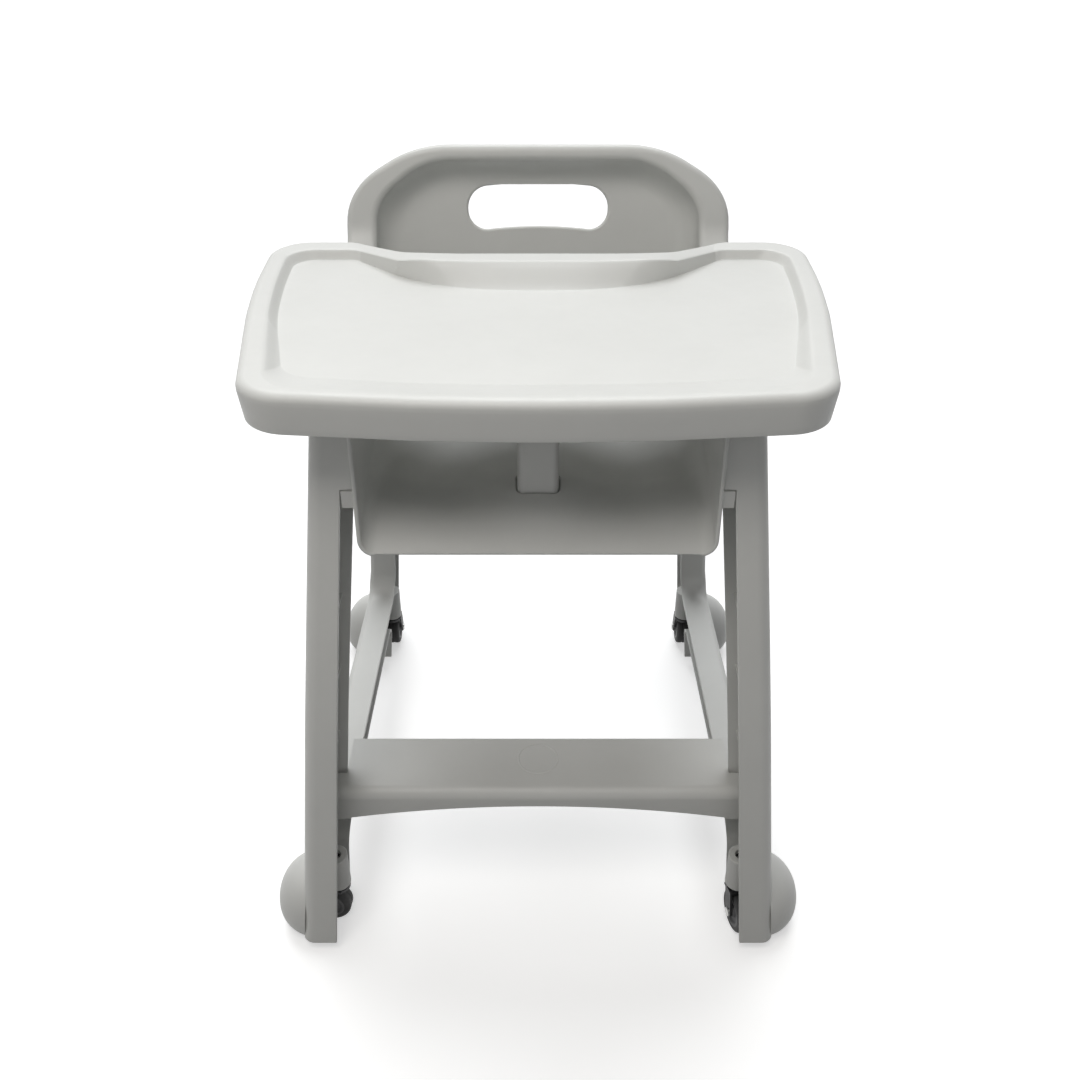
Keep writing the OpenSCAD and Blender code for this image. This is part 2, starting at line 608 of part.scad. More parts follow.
module seat_skin() {
    nb = len(edge);
    inner = [for (q = [0:nb - 1]) rim_points(q, 0)];
    outer = [for (q = [0:nb - 1]) rim_points(q, seat_wall)];
    m = len(inner[0]);
    nc = rows_n * (cols + 1);
    half = nc + m * nb;
    function cid(r, j) = r * (cols + 1) + j;
    function sid(q, k) = k < 0 ? cid(edge[q][0], edge[q][1]) : nc + q * m + k;
    function quad(a, b, c, d) = [[a, b, c], [a, c, d]];
    face = concat(
        [for (r = [0:rows_n - 2]) for (j = [0:cols - 1])
            each quad(cid(r, j), cid(r, j + 1), cid(r + 1, j + 1), cid(r + 1, j))],
        [for (q = [0:nb - 2]) for (k = [-1:m - 2])
            each quad(sid(q, k), sid(q + 1, k), sid(q + 1, k + 1), sid(q, k + 1))]);
    rim_end = [for (q = [0:nb - 1]) sid(q, m - 1)];
    front = concat([for (k = [m - 1:-1:-1]) sid(0, k)], [for (j = [1:cols - 1]) cid(0, j)],
        [for (k = [-1:m - 1]) sid(nb - 1, k)]);
    polyhedron(
        concat([for (r = core_in) each r], [for (v = inner) each v], [for (r = core_out) each r], [for (v = outer) each v]),
        concat([for (f = face) [f[2], f[1], f[0]]], [for (f = face) [f[0] + half, f[1] + half, f[2] + half]],
            [for (q = [0:nb - 2]) each quad(rim_end[q + 1], rim_end[q], rim_end[q] + half, rim_end[q + 1] + half)],
            [for (q = [0:len(front) - 2]) each quad(front[q], front[q + 1], front[q + 1] + half, front[q] + half)]),
        convexity = 10);
}

// Bean-shaped grip hole, drawn in the plane of the back.
module handle_hole() {
    translate([0, back_y(handle_z), handle_z]) rotate([90 - recline, 0, 0]) translate([0, 0, -30])
        linear_extrude(70) polygon(outline([
            [-handle_w / 2, -handle_h / 2 - 1, 20, 7], [0, -handle_h / 2 + 7, 300, 3],
            [handle_w / 2, -handle_h / 2 - 1, 20, 7], [handle_w / 2, handle_h / 2 - 3, 20, 7],
            [0, handle_h / 2 + 3, 300, 3], [-handle_w / 2, handle_h / 2 - 3, 20, 7]]));
}
handle_z = back_top_z - 76;

module round_bar(w, t, h, r) {
    linear_extrude(h) polygon(outline([[-w / 2, -t / 2, r, 6], [w / 2, -t / 2, r, 6],
        [w / 2, t / 2, r, 6], [-w / 2, t / 2, r, 6]]));
}

socket_top = 517;
socket_seat = 526.5;
socket_tilt = 9;
socket_h = 23;
socket_floor = 3;
post_r = 7;
ledge_rear = 70;

module seat_shell() {
    color(platinum) difference() {
        union() {
            seat_skin();
            for (s = [-1, 1]) translate([0, 0, ledge_z]) linear_extrude(ledge_h) polygon(concat(
                [for (y = [front_y(bolt_z) + 0.5, -100, 0, ledge_rear]) [s * ledge_x(y), y]],
                [for (y = [ledge_rear, 0, -100, front_y(bolt_z) + 0.5]) [s * (seat_wall_x(y) + 1), y]]));
            intersection() {
                translate([0, -post_y, socket_top - socket_h])
                    round_bar(post_w + 8, post_t + 8, socket_h + 20, post_r + 4);
                translate([0, -post_y, socket_seat]) rotate([socket_tilt, 0, 0])
                    translate([-50, -50, -50]) cube([100, 100, 50]);
            }
        }
        handle_hole();
        translate([0, -post_y, socket_top - socket_h + socket_floor])
            round_bar(post_w + 2 * fit_gap, post_t + 2 * fit_gap, 80, post_r + fit_gap);
        for (s = [-1, 1]) for (y = bolt_y) translate([s * (seat_wall_x(y) + 2), y, bolt_z])
            rotate([0, s * 90, 0]) cylinder(d = bolt_d, h = 30);
    }
}

// ---- tray and crotch post ------------------------------------------------

skirt_z = arm_z + fit_gap;
dish_z = rim_z - dish;
crest_z = rim_z + crest;

// Corners of half an outline, mirrored to a whole closed loop.
function mirrored(c) = concat(c, [for (i = [len(c) - 1:-1:0]) if (abs(c[i][0]) > 0.01) [-c[i][0], c[i][1], c[i][2], c[i][3]]]);
function tray_loop(front, corner_r, side, rear, shoulder, belly, belly_r) = outline(mirrored([
    [0, -front, 0, 1], [100, -front + 3, 0, 1], [side - 43, -front + 17, corner_r, 8],
    [side - 13, -80, 0, 1], [side - 4, 0, 0, 1], [side, rear, shoulder + 8, 8],
    [tray_shoulder, rear, shoulder, 5], [tray_belly, belly + 2, belly_r, 5], [60, belly, 0, 1], [0, belly, 0, 1]]));
tray_shoulder = 196;
tray_belly = 128;

module tray() {
    outer = tray_loop(tray_front, 48, tray_half, tray_back, 36, tray_back - 72, 60);
    on = normals(outer);
    rim = tray_loop(tray_front - 15, 40, tray_half - 22, tray_back - 30, 20, 16, 60);
    rn = normals(rim);
    floor_loop = tray_loop(tray_front - 55, 34, tray_half - 32, tray_back - 33, 18, -4, 90);
    fn = normals(floor_loop);
    n = len(outer);
    // the rim rises to its crest along the child's side
    rise = [for (p = outer) p[1] > 0 ? crest * (1 - ease(110, 190, abs(p[0]))) : 0];
    function at(p, q, d, z, up) = [for (i = [0:n - 1]) [p[i][0] + q[i][0] * d, p[i][1] + q[i][1] * d, z + rise[i] * up]];
    edge_r = 9;
    t = tray_wall;
    color(platinum) difference() {
        union() {
            skin([
                at(floor_loop, fn, -t, dish_z - t, 0),
                at(rim, rn, -t, rim_z - t, 1),
                at(outer, on, edge_r + 1, rim_z - t, 1),
                at(outer, on, t + 1, rim_z - edge_r - 1, 1),
                at(outer, on, t + 3, skirt_z, 0),
                at(outer, on, 3, skirt_z, 0),
                at(outer, on, 0, rim_z - edge_r - 2, 1),
                for (a = [30:30:90]) at(outer, on, edge_r * (1 - cos(a)), rim_z - edge_r + edge_r * sin(a), 1),
                at(rim, rn, -3, rim_z, 1),
                at(rim, rn, 0, rim_z - 1, 1),
                [for (i = [0:n - 1]) let (a = mix(rim[i], floor_loop[i], 0.62)) [a[0], a[1], dish_z + 2.5 + rise[i] * 0.25]],
                at(floor_loop, fn, 0, dish_z, 0)], ends = true);
            // runners that stand on the arms
            for (s = [-1, 1]) {
                translate([s * runner_x - 2, -150, skirt_z]) cube([4, 230, dish_z - t / 2 - skirt_z]);
                translate([s * (runner_x - 22) - 2, -150, skirt_z]) cube([4, 230, dish_z - t / 2 - skirt_z]);
            }
            for (y = [-150, -40, 60]) for (s = [-1, 1])
                translate([s * (runner_x - 11) - 11, y - 2, skirt_z + 6]) cube([22, 4, dish_z - t / 2 - skirt_z - 6]);
            // pad that carries the post
            translate([0, -post_y, pad_z]) round_bar(post_w + 34, post_t + 10, dish_z - t / 2 - pad_z, 6);
        }
        for (s = [-1, 1]) translate([s * post_screw_x, -post_y, pad_z - 1]) cylinder(d = screw_d, h = dish_z - t - pad_z - 1);
    }
}
runner_x = 209;
pad_z = dish_z - 16;
post_flange = 5;
post_screw_x = 28;
screw_d = 4;
post_low = socket_top - socket_h + socket_floor + fit_gap;

module crotch_post() {
    color(platinum) translate([0, -post_y, 0]) difference() {
        union() {
            translate([0, 0, post_low]) round_bar(post_w, post_t, pad_z - post_low, post_r);
            translate([0, 0, pad_z - post_flange]) round_bar(post_w + 34, post_t + 2, post_flange, 6);
        }
        translate([0, 0, post_low + 4]) round_bar(post_w - 7, post_t - 7, pad_z - post_low, post_r - 3.5);
        for (s = [-1, 1]) translate([s * post_screw_x, 0, pad_z - post_flange - 1]) cylinder(d = screw_d + 0.6, h = 10);
    }
}

module post_screws() {
    color(steel) for (s = [-1, 1]) translate([s * post_screw_x, -post_y, pad_z - post_flange]) {
        cylinder(d = screw_d, h = post_flange + 10);
        translate([0, 0, -2.5]) cylinder(d = 8, h = 2.5);
    }
}

// ---- footrest ------------------------------------------------------------

module rest_section(shrink) {
    r = 12;
    polygon(outline([
        [-rest_front + shrink, rest_z - rest_h - 5, 0, 1],
        [-rest_front + rest_depth - shrink, rest_z - rest_h - 5, 0, 1],
        [-rest_front + rest_depth - shrink, rest_z - shrink, 5 - shrink / 2, 4],
        [-rest_front + shrink, rest_z - shrink, r - shrink / 2, 7]]));
}

// Sweep of the footrest's section along X, between two depths across the chair.
module rest_bar(x0, x1, shrink) {
    translate([x0, 0, 0]) rotate([90, 0, 90]) linear_extrude(x1 - x0) rest_section(shrink);
}
rest_half = tie_x;
rest_rear_h = 22;
arch_r = (pow(rest_half - 10, 2) + pow(rest_arch, 2)) / (2 * rest_arch);

module footrest() {
    color(platinum) difference() {
        union() {
            difference() {
                rest_bar(-rest_half, rest_half, 0);
                rest_bar(-rest_half + rest_wall, rest_half - rest_wall, rest_wall);
            }
            for (x = [-150, -75, 0, 75, 150]) rest_bar(x - 1.5, x + 1.5, rest_wall / 2);
            for (s = [-1, 1]) translate([s * (rest_half - 8) - 7, -rest_front + 1, rest_z - rest_h + 1])
                cube([14, 28, rest_h - 4]);
        }
        // arched underside of the front face, and a shallower rear edge
        translate([0, -400, rest_z - rest_h + rest_arch - arch_r]) rotate([-90, 0, 0]) cylinder(r = arch_r, h = 400, $fn = 96);
        translate([-rest_half - 1, -400, rest_z - rest_h - 50]) cube([2 * rest_half + 2, 400, 50]);
        translate([-rest_half - 1, -rest_front + 36, rest_z - rest_h - 1]) cube([2 * rest_half + 2, 100, rest_h - rest_rear_h + 1]);
        // notch at each end where the bar passes the rear edge of the leg
        for (s = [-1, 1]) translate([s * (rest_half + 10) + (s > 0 ? -notch : notch - 40), foot_notch_y, 100])
            cube([40, 80, 120]);
        for (s = [-1, 1]) for (z = tie_z) translate([s * (rest_half - 16), tie_y, z]) rotate([0, s * 90, 0])
            cylinder(d = bolt_d, h = 30);
    }
}
notch = rest_half + 10 - (lip_x(-200, rest_z) - fit_gap);
foot_notch_y = -208.8;

// ---- bolts ---------------------------------------------------------------

module frame_bolt(s, y, z, x_in) {
    translate([s * x_in, y, z]) rotate([0, s * 90, 0]) {
        cylinder(d = bolt_d, h = seat_face(y, z) - x_in);
        translate([0, 0, seat_face(y, z) - x_in]) difference() {
            cylinder(d = bolt_head_d, h = bolt_head_h);
            translate([0, 0, bolt_head_h - 2.5]) cylinder(d = 5, h = 4, $fn = 6);
        }
    }
}

module seat_bolts() {
    color(steel) for (s = [-1, 1]) for (y = bolt_y) frame_bolt(s, y, bolt_z, seat_wall_x(y) + 3);
}

module footrest_bolts() {
    color(steel) for (s = [-1, 1]) for (z = tie_z) frame_bolt(s, tie_y, z, rest_half - 14);
}

// ---- castors -------------------------------------------------------------

// Where each castor stands and which way its wheel trails at rest, in degrees about Z.
places = [["fl", -1, -1, 85], ["fr", 1, -1, 193], ["rl", -1, 1, 0], ["rr", 1, 1, 0]];
function swivel_at(p) = [p[1] * swivel_at_x(p[2]), p[2] * swivel_y, 0];
module at_castor(i) {
    translate(swivel_at(places[i])) rotate([0, 0, places[i][3]]) children();
}

fork_top = 55;
stem_top = boss_z + boss_h - 8;
hub_r = wheel_d / 2 - 7;

module sleeve(i) {
    color(castor_black) at_castor(i) translate([0, 0, boss_z]) difference() {
        union() {
            cylinder(d = stem_d + 2 * sleeve_wall, h = boss_h - 6);
            translate([0, 0, -1.5]) cylinder(d = boss_d - 4, h = 1.5);
        }
        translate([0, 0, -2]) cylinder(d = stem_d + 2 * run_gap, h = boss_h);
    }
}

module stem(i) {
    color(steel) at_castor(i) {
        translate([0, 0, fork_top - 3]) cylinder(d = stem_d, h = boss_z + boss_h - 8 - fork_top + 3);
    }
}

module fork(i) {
    cheek = wheel_w / 2 + 1;
    color(castor_black) at_castor(i) difference() {
        union() {
            translate([0, 0, fork_top - 3]) cylinder(d = 26, h = 4);
            for (s = [-1, 1]) hull() {
                translate([s * (cheek + 1.25) - 1.25, 0, fork_top - 1]) rotate([0, 90, 0]) cylinder(d = 4, h = 2.5, $fn = 24);
                translate([s * (cheek + 1.25) - 1.25, 11, fork_top - 1]) rotate([0, 90, 0]) cylinder(d = 4, h = 2.5, $fn = 24);
                translate([s * (cheek + 1.25) - 1.25, trail, wheel_d / 2]) rotate([0, 90, 0]) cylinder(d = 13, h = 2.5, $fn = 24);
            }
            translate([-cheek - 2.5, -5, fork_top - 3]) cube([2 * cheek + 5, 18, 3]);
        }
        translate([0, 0, fork_top - 4]) cylinder(d = stem_d, h = 8);
        translate([-20, trail, wheel_d / 2]) rotate([0, 90, 0]) cylinder(d = axle_d, h = 40);
    }
}

module axle(i) {
    cheek = wheel_w / 2 + 3.5;
    color(steel) at_castor(i) translate([0, trail, wheel_d / 2]) rotate([0, 90, 0]) {
        translate([0, 0, -cheek]) cylinder(d = axle_d, h = 2 * cheek);
        for (z = [-cheek - 1.5, cheek]) translate([0, 0, z]) cylinder(d = axle_d + 4, h = 1.5);
    }
}

module hub(i) {
    w = wheel_w / 2;
    color([0.32, 0.32, 0.33]) at_castor(i) translate([0, trail, wheel_d / 2]) rotate([0, 90, 0])
        rotate_extrude() polygon([
            [axle_d / 2 + run_gap, -w], [7, -w], [8, -w + 3], [hub_r - 4, -w + 3], [hub_r - 3, -w + 0.5],
            [hub_r, -w + 0.5], [hub_r, w - 0.5], [hub_r - 3, w - 0.5], [hub_r - 4, w - 3], [8, w - 3],
            [7, w], [axle_d / 2 + run_gap, w]]);
}

module tyre(i) {
    w = wheel_w / 2;
    r = wheel_d / 2;
    color(castor_black) at_castor(i) translate([0, trail, r]) rotate([0, 90, 0])
        rotate_extrude() polygon(concat(
            [[hub_r, w - 0.5], [hub_r, -w + 0.5]],
            [for (a = [-90:22.5:0]) [r - 4 + 4 * cos(a), -w + 4.5 + 4 * sin(a)]],
            [for (a = [0:22.5:90]) [r - 4 + 4 * cos(a), w - 4.5 + 4 * sin(a)]]));
}

side_frame_left();
side_frame_right();
seat_shell();
footrest();
seat_bolts();
footrest_bolts();
tray();
crotch_post();
post_screws();
sleeve(0);  // sleeve_fl
stem(0);  // stem_fl
fork(0);  // fork_fl
axle(0);  // axle_fl
hub(0);  // hub_fl
tyre(0);  // tyre_fl
sleeve(1);  // sleeve_fr
stem(1);  // stem_fr
fork(1);  // fork_fr
axle(1);  // axle_fr
hub(1);  // hub_fr
tyre(1);  // tyre_fr
sleeve(2);  // sleeve_rl
stem(2);  // stem_rl
fork(2);  // fork_rl
axle(2);  // axle_rl
hub(2);  // hub_rl
tyre(2);  // tyre_rl
sleeve(3);  // sleeve_rr
stem(3);  // stem_rr
fork(3);  // fork_rr
axle(3);  // axle_rr
hub(3);  // hub_rr
tyre(3);  // tyre_rr
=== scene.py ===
import math

import bmesh
import bpy
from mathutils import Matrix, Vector


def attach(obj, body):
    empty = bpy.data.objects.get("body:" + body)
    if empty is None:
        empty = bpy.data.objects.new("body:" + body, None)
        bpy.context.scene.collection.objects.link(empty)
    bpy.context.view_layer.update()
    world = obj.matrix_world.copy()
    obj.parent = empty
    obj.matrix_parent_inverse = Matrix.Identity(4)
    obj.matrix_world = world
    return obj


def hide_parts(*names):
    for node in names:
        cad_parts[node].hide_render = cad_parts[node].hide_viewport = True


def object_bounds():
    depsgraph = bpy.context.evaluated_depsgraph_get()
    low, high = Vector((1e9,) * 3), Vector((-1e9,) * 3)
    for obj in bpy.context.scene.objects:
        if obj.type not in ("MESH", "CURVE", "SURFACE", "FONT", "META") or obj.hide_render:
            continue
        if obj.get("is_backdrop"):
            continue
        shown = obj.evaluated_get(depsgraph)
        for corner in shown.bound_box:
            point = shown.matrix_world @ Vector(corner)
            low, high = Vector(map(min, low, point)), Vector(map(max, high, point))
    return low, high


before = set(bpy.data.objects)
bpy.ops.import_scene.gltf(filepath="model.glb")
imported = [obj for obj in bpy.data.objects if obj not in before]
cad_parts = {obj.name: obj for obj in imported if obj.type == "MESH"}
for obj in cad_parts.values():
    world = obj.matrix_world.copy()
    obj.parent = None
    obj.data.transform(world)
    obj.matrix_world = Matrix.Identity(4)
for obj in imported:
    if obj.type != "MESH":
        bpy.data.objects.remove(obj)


def plain(v):
    """The same value in lists, dicts and numbers that json can write."""
    if hasattr(v, "items"):
        return {k: plain(x) for k, x in v.items()}
    if hasattr(v, "__len__") and not isinstance(v, str):
        return [plain(x) for x in v]
    return v if isinstance(v, (str, int)) else float(v)


bounds_cad = plain(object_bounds())

# ---------------------------------------------------------------- sizes, mm
FOOT_Z, OUT_X, LEAN, IN_X, IN_LEAN, TOE = 15, 266, 0.0963, 227.2, 0.083, 0.01
WALL, ROUND, WINROUND = 3.5, 14, 7
FOOT_Y, FOOT_DEPTH = 297, 98
RAIL_TF, RAIL_TR, RAIL_LF, RAIL_LR, RAIL_ARCH, WIN_TOP = 124, 110, 90, 73, 5, 512
HOOD_HALF, HOOD_R, HOOD_RISE, HOOD_DROP, HOOD_Z, HOOD_WALL, HOOD_Y = 297, 46, 62, 40, 30, 3, 246
SWIVEL_X, SWIVEL_Y, BOSS_D, BOSS_Z, BOSS_H = 227, 247, 28, 58, 46
SEAT_WALL, SEAT_HALF, BACK_HALF, ARM_Z, PAN_Z, RIDGE_Z, LIP_Z, LIP_Y = 4, 165, 188, 640, 504, 528, 491, 215
BACK_TOP_Z, BACK_TOP_Y, RECLINE, BACK_DEPTH, RIM_HALF = 757.5, 252, math.radians(12), 38, 223
HANDLE_Z, LEDGE_H = 681.5, 18
TRAY_HALF, TRAY_FRONT, TRAY_BACK, RIM_Z, CREST, DISH, TRAY_WALL = 291, 277, 122, 678, 12, 10, 3.5
POST_W, POST_T, POST_Y = 40, 28, 150
REST_Z, REST_FRONT = 190, 235
BOLT_Y = (-190, -60, 55)
# rounding of a wall's free edge
EDGE = 0.8
# points closer than this are one, in metres
MERGE = 1e-6


# ---------------------------------------------------------------- plane curves
def unit(v):
    n = math.sqrt(sum(c * c for c in v)) or 1.0
    return [c / n for c in v]


def mix(a, b, t):
    if hasattr(a, "__len__"):
        return [p + (q - p) * t for p, q in zip(a, b)]
    return a + (b - a) * t


def ease(a, b, v):
    t = min(1.0, max(0.0, (v - a) / (b - a)))
    return t * t * (3 - 2 * t)


def corner(a, b, c, r, k):
    """The corner at b between a and c as k points on radius r."""
    u, v = unit([a[0] - b[0], a[1] - b[1]]), unit([c[0] - b[0], c[1] - b[1]])
    half = math.acos(max(-1, min(1, u[0] * v[0] + u[1] * v[1]))) / 2
    w = unit([u[0] + v[0], u[1] + v[1]])
    m = [b[0] + w[0] * r / math.sin(half), b[1] + w[1] * r / math.sin(half)]
    f = [b[0] + u[0] * r / math.tan(half) - m[0], b[1] + u[1] * r / math.tan(half) - m[1]]
    turn = (b[0] - a[0]) * (c[1] - b[1]) - (b[1] - a[1]) * (c[0] - b[0])
    sweep = (math.pi - 2 * half) * (1 if turn > 0 else -1)
    s = math.atan2(f[1], f[0])
    angles = [s + sweep * i / (k - 1) for i in range(k)]
    return [[m[0] + r * math.cos(g), m[1] + r * math.sin(g)] for g in angles]


def outline(c):
    """Closed outline from corners [x, y, radius, points]; one point leaves a corner sharp."""
    out = []
    for i, b in enumerate(c):
        a, d = c[i - 1], c[(i + 1) % len(c)]
        out += [[b[0], b[1]]] if b[3] == 1 else corner(a, b, d, b[2], b[3])
    return out


def normals(p):
    """Unit normals of a closed outline."""
    out = []
    for i in range(len(p)):
        a, b = p[i - 1], p[(i + 1) % len(p)]
        t = unit([b[0] - a[0], b[1] - a[1]])
        out.append([-t[1], t[0]])
    return out


def inset(p, q, d):
    return [[a[0] + n[0] * d, a[1] + n[1] * d] for a, n in zip(p, q)]


def arc(cx, cy, r, a0, a1, k):
    """k steps round (cx, cy), from a0 to a1 degrees."""
    angles = [math.radians(a0 + (a1 - a0) * i / k) for i in range(k + 1)]
    return [[cx + r * math.cos(a), cy + r * math.sin(a)] for a in angles]


def turns(n):
    return [2 * math.pi * k / n for k in range(n)]


# ---------------------------------------------------------------- mesh helpers
def link(name, data):
    ob = bpy.data.objects.new(name, data)
    bpy.context.scene.collection.objects.link(ob)
    return ob


def mesh_object(name, verts, faces, angle=35, weighted=True):
    """Mesh from points in mm, its doubles merged and its normals outwards."""
    me = bpy.data.meshes.new(name)
    me.from_pydata([(x / 1000, y / 1000, z / 1000) for x, y, z in verts], [], faces)
    me.validate()
    bm = bmesh.new()
    bm.from_mesh(me)
    bmesh.ops.remove_doubles(bm, verts=bm.verts, dist=MERGE)
    bmesh.ops.recalc_face_normals(bm, faces=bm.faces)
    bm.to_mesh(me)
    bm.free()
    ob = link(name, me)
    smooth(ob, angle, weighted)
    return ob


def smooth(ob, angle=35, weighted=True):
    """Shade smooth, with edges sharp where faces meet at more than angle degrees."""
    me = ob.data
    bm = bmesh.new()
    bm.from_mesh(me)
    lim = math.radians(angle)
    for f in bm.faces:
        f.smooth = True
    for e in bm.edges:
        e.smooth = len(e.link_faces) == 2 and e.calc_face_angle(0) <= lim
    bm.to_mesh(me)
    bm.free()
    if weighted:
        m = ob.modifiers.new("normals", "WEIGHTED_NORMAL")
        m.keep_sharp = True
        m.mode = "FACE_AREA"
        m.weight = 80


def join(name, objs):
    bpy.context.view_layer.update()
    bm = bmesh.new()
    for o in objs:
        me = o.data.copy()
        me.transform(o.matrix_world)
        bm.from_mesh(me)
        bpy.data.objects.remove(o)
    me = bpy.data.meshes.new(name)
    bm.to_mesh(me)
    bm.free()
    return link(name, me)


def round_bar(w, t, r, k=12):
    x, y = w / 2, t / 2
    return outline([[-x, -y, r, k], [x, -y, r, k], [x, y, r, k], [-x, y, r, k]])


def stack(name, rings, cap=True, angle=35, weighted=False, closed=False):
    """Skin of equal rings of [x, y, z] points."""
    n = len(rings[0])
    verts = [p for r in rings for p in r]
    faces = []
    last = len(rings) - 1
    for i in range(last + 1 if closed else last):
        for j in range(n):
            a, b = i * n, ((i + 1) % (last + 1)) * n
            faces.append((a + j, a + (j + 1) % n, b + (j + 1) % n, b + j))
    if cap and not closed:
        faces += [tuple(range(n - 1, -1, -1)), tuple(last * n + j for j in range(n))]
    return mesh_object(name, verts, faces, angle, weighted)


def revolve(name, loop, x, y, sx, seg, closed=True):
    """Body of revolution round an upright axis, from a loop of (radius, z)."""
    n = len(loop)
    verts = [(sx * (x + r * math.cos(a)), y + r * math.sin(a), z) for a in turns(seg) for r, z in loop]
    faces = []
    for k in range(seg):
        a, b = k * n, (k + 1) % seg * n
        for q in range(n if closed else n - 1):
            faces.append((a + q, b + q, b + (q + 1) % n, a + (q + 1) % n))
    return mesh_object(name, verts, faces, 40, False)


def bake(ob):
    """Give an object the mesh that its modifiers make."""
    bpy.context.view_layer.update()
    dg = bpy.context.evaluated_depsgraph_get()
    me = bpy.data.meshes.new_from_object(ob.evaluated_get(dg))
    ob.modifiers.clear()
    ob.data = me
    return ob


def cut(ob, tool):
    m = ob.modifiers.new("cut", "BOOLEAN")
    m.operation = "DIFFERENCE"
    m.solver = "EXACT"
    m.object = tool
    bake(ob)
    bpy.data.objects.remove(tool)
    return ob


def open_edges(bm):
    return [e for e in bm.edges if len(e.link_faces) == 1]


def seal(ob, least=8, sides=8):
    """Take away the flecks a cut leaves behind and fill its small open loops."""
    bm = bmesh.new()
    bm.from_mesh(ob.data)
    bmesh.ops.remove_doubles(bm, verts=bm.verts, dist=MERGE)
    bm.faces.index_update()
    bm.faces.ensure_lookup_table()
    seen, flecks = set(), []
    for first in bm.faces[:]:
        if first.index in seen:
            continue
        seen.add(first.index)
        island, queue = [], [first]
        while queue:
            f = queue.pop()
            island.append(f)
            joined = [g for e in f.edges if len(e.link_faces) == 2 for g in e.link_faces]
            for g in joined:
                if g.index not in seen:
                    seen.add(g.index)
                    queue.append(g)
        if len(island) < least:
            flecks += island
    bmesh.ops.delete(bm, geom=flecks, context="FACES")
    bmesh.ops.holes_fill(bm, edges=open_edges(bm), sides=sides)
    bmesh.ops.recalc_face_normals(bm, faces=bm.faces)
    bm.to_mesh(ob.data)
    bm.free()
    return ob


# ---------------------------------------------------------------- side frames
FRAME_TOP = ARM_Z - SEAT_WALL
STEP_Z = FRAME_TOP - 81
TOP_FRONT, TOP_REAR, KNEE_Z, KNEE_F, KNEE_R = 193, 228, 300, 257, 268
FOOT_IN, NOTCH_Z, GAP, LIP_STEP = FOOT_Y - FOOT_DEPTH, 48, 0.3, STEP_Z + 1
RIM_ROLL, LIP_RISE = 7.5, 0.4
LEDGE_Z = STEP_Z - LEDGE_H
BOLT_Z = STEP_Z - LEDGE_H / 2
TIE_X, TIE_Y, TIE_Z = 222, -(REST_FRONT - 14), (REST_Z - 29, REST_Z - 12)
WIN_FRONT, WIN_REAR = (209, 178, 126), (243, 214, 150)
BOW_R, TOP_R, WIN_R = 1500, 24, 42
# stations that keep the top edges of frame and window in step
TOP_Y = (165, 150, 135, 120, 100, 80, 60, 41, 20, -3, -90)
WIN_Y = (95, 85, 75, 65, 55, 45, 35, 25, 15, 0, -50)
BOLT_BORE_R, BOLT_BOSS_R, POCKET_R, BOSS_BORE_R, FACE_BITE, HOOD_BITE = 3.3, 10, 6.8, 7.05, 3.3, 2.2
RIB, RIB_Z, RIB_Y, SHELF = 2.5, (240, 320, 400), (-100, 0, 100), 3


def seat_wall_x(y):
    return SEAT_HALF + (BACK_HALF - SEAT_HALF) * ease(20, 171, y)


def out_x(y, z):
    return OUT_X - LEAN * z - TOE * (y + KNEE_F)


def lip_x(y, z):
    if z > FRAME_TOP - 14:
        return seat_wall_x(y) + RIM_ROLL + GAP
    return seat_wall_x(y) + SEAT_WALL + GAP if z > LIP_STEP else IN_X - IN_LEAN * z - TOE * (y + KNEE_F)


def edge_y(z, knee, top):
    if z < KNEE_Z:
        return mix(FOOT_Y, knee, (z - FOOT_Z) / (KNEE_Z - FOOT_Z))
    return mix(knee, top, (z - KNEE_Z) / (FRAME_TOP - KNEE_Z))


def front_y(z):
    return -edge_y(z, KNEE_F, TOP_FRONT)


def rear_y(z):
    return edge_y(z, KNEE_R, TOP_REAR)


def window_y(z, rail, at):
    """Distance of the window's edge, given at the rail, the knee and the top."""
    if z < KNEE_Z:
        return mix(at[0], at[1], (z - rail) / (KNEE_Z - rail))
    return mix(at[1], at[2], (z - KNEE_Z) / (WIN_TOP - KNEE_Z))


def window_front(z):
    return -window_y(z, RAIL_TF, WIN_FRONT)


def window_rear(z):
    return window_y(z, RAIL_TR, WIN_REAR)


def sharp(edge, *levels):
    return [[edge(z), z, 0, 1] for z in levels]


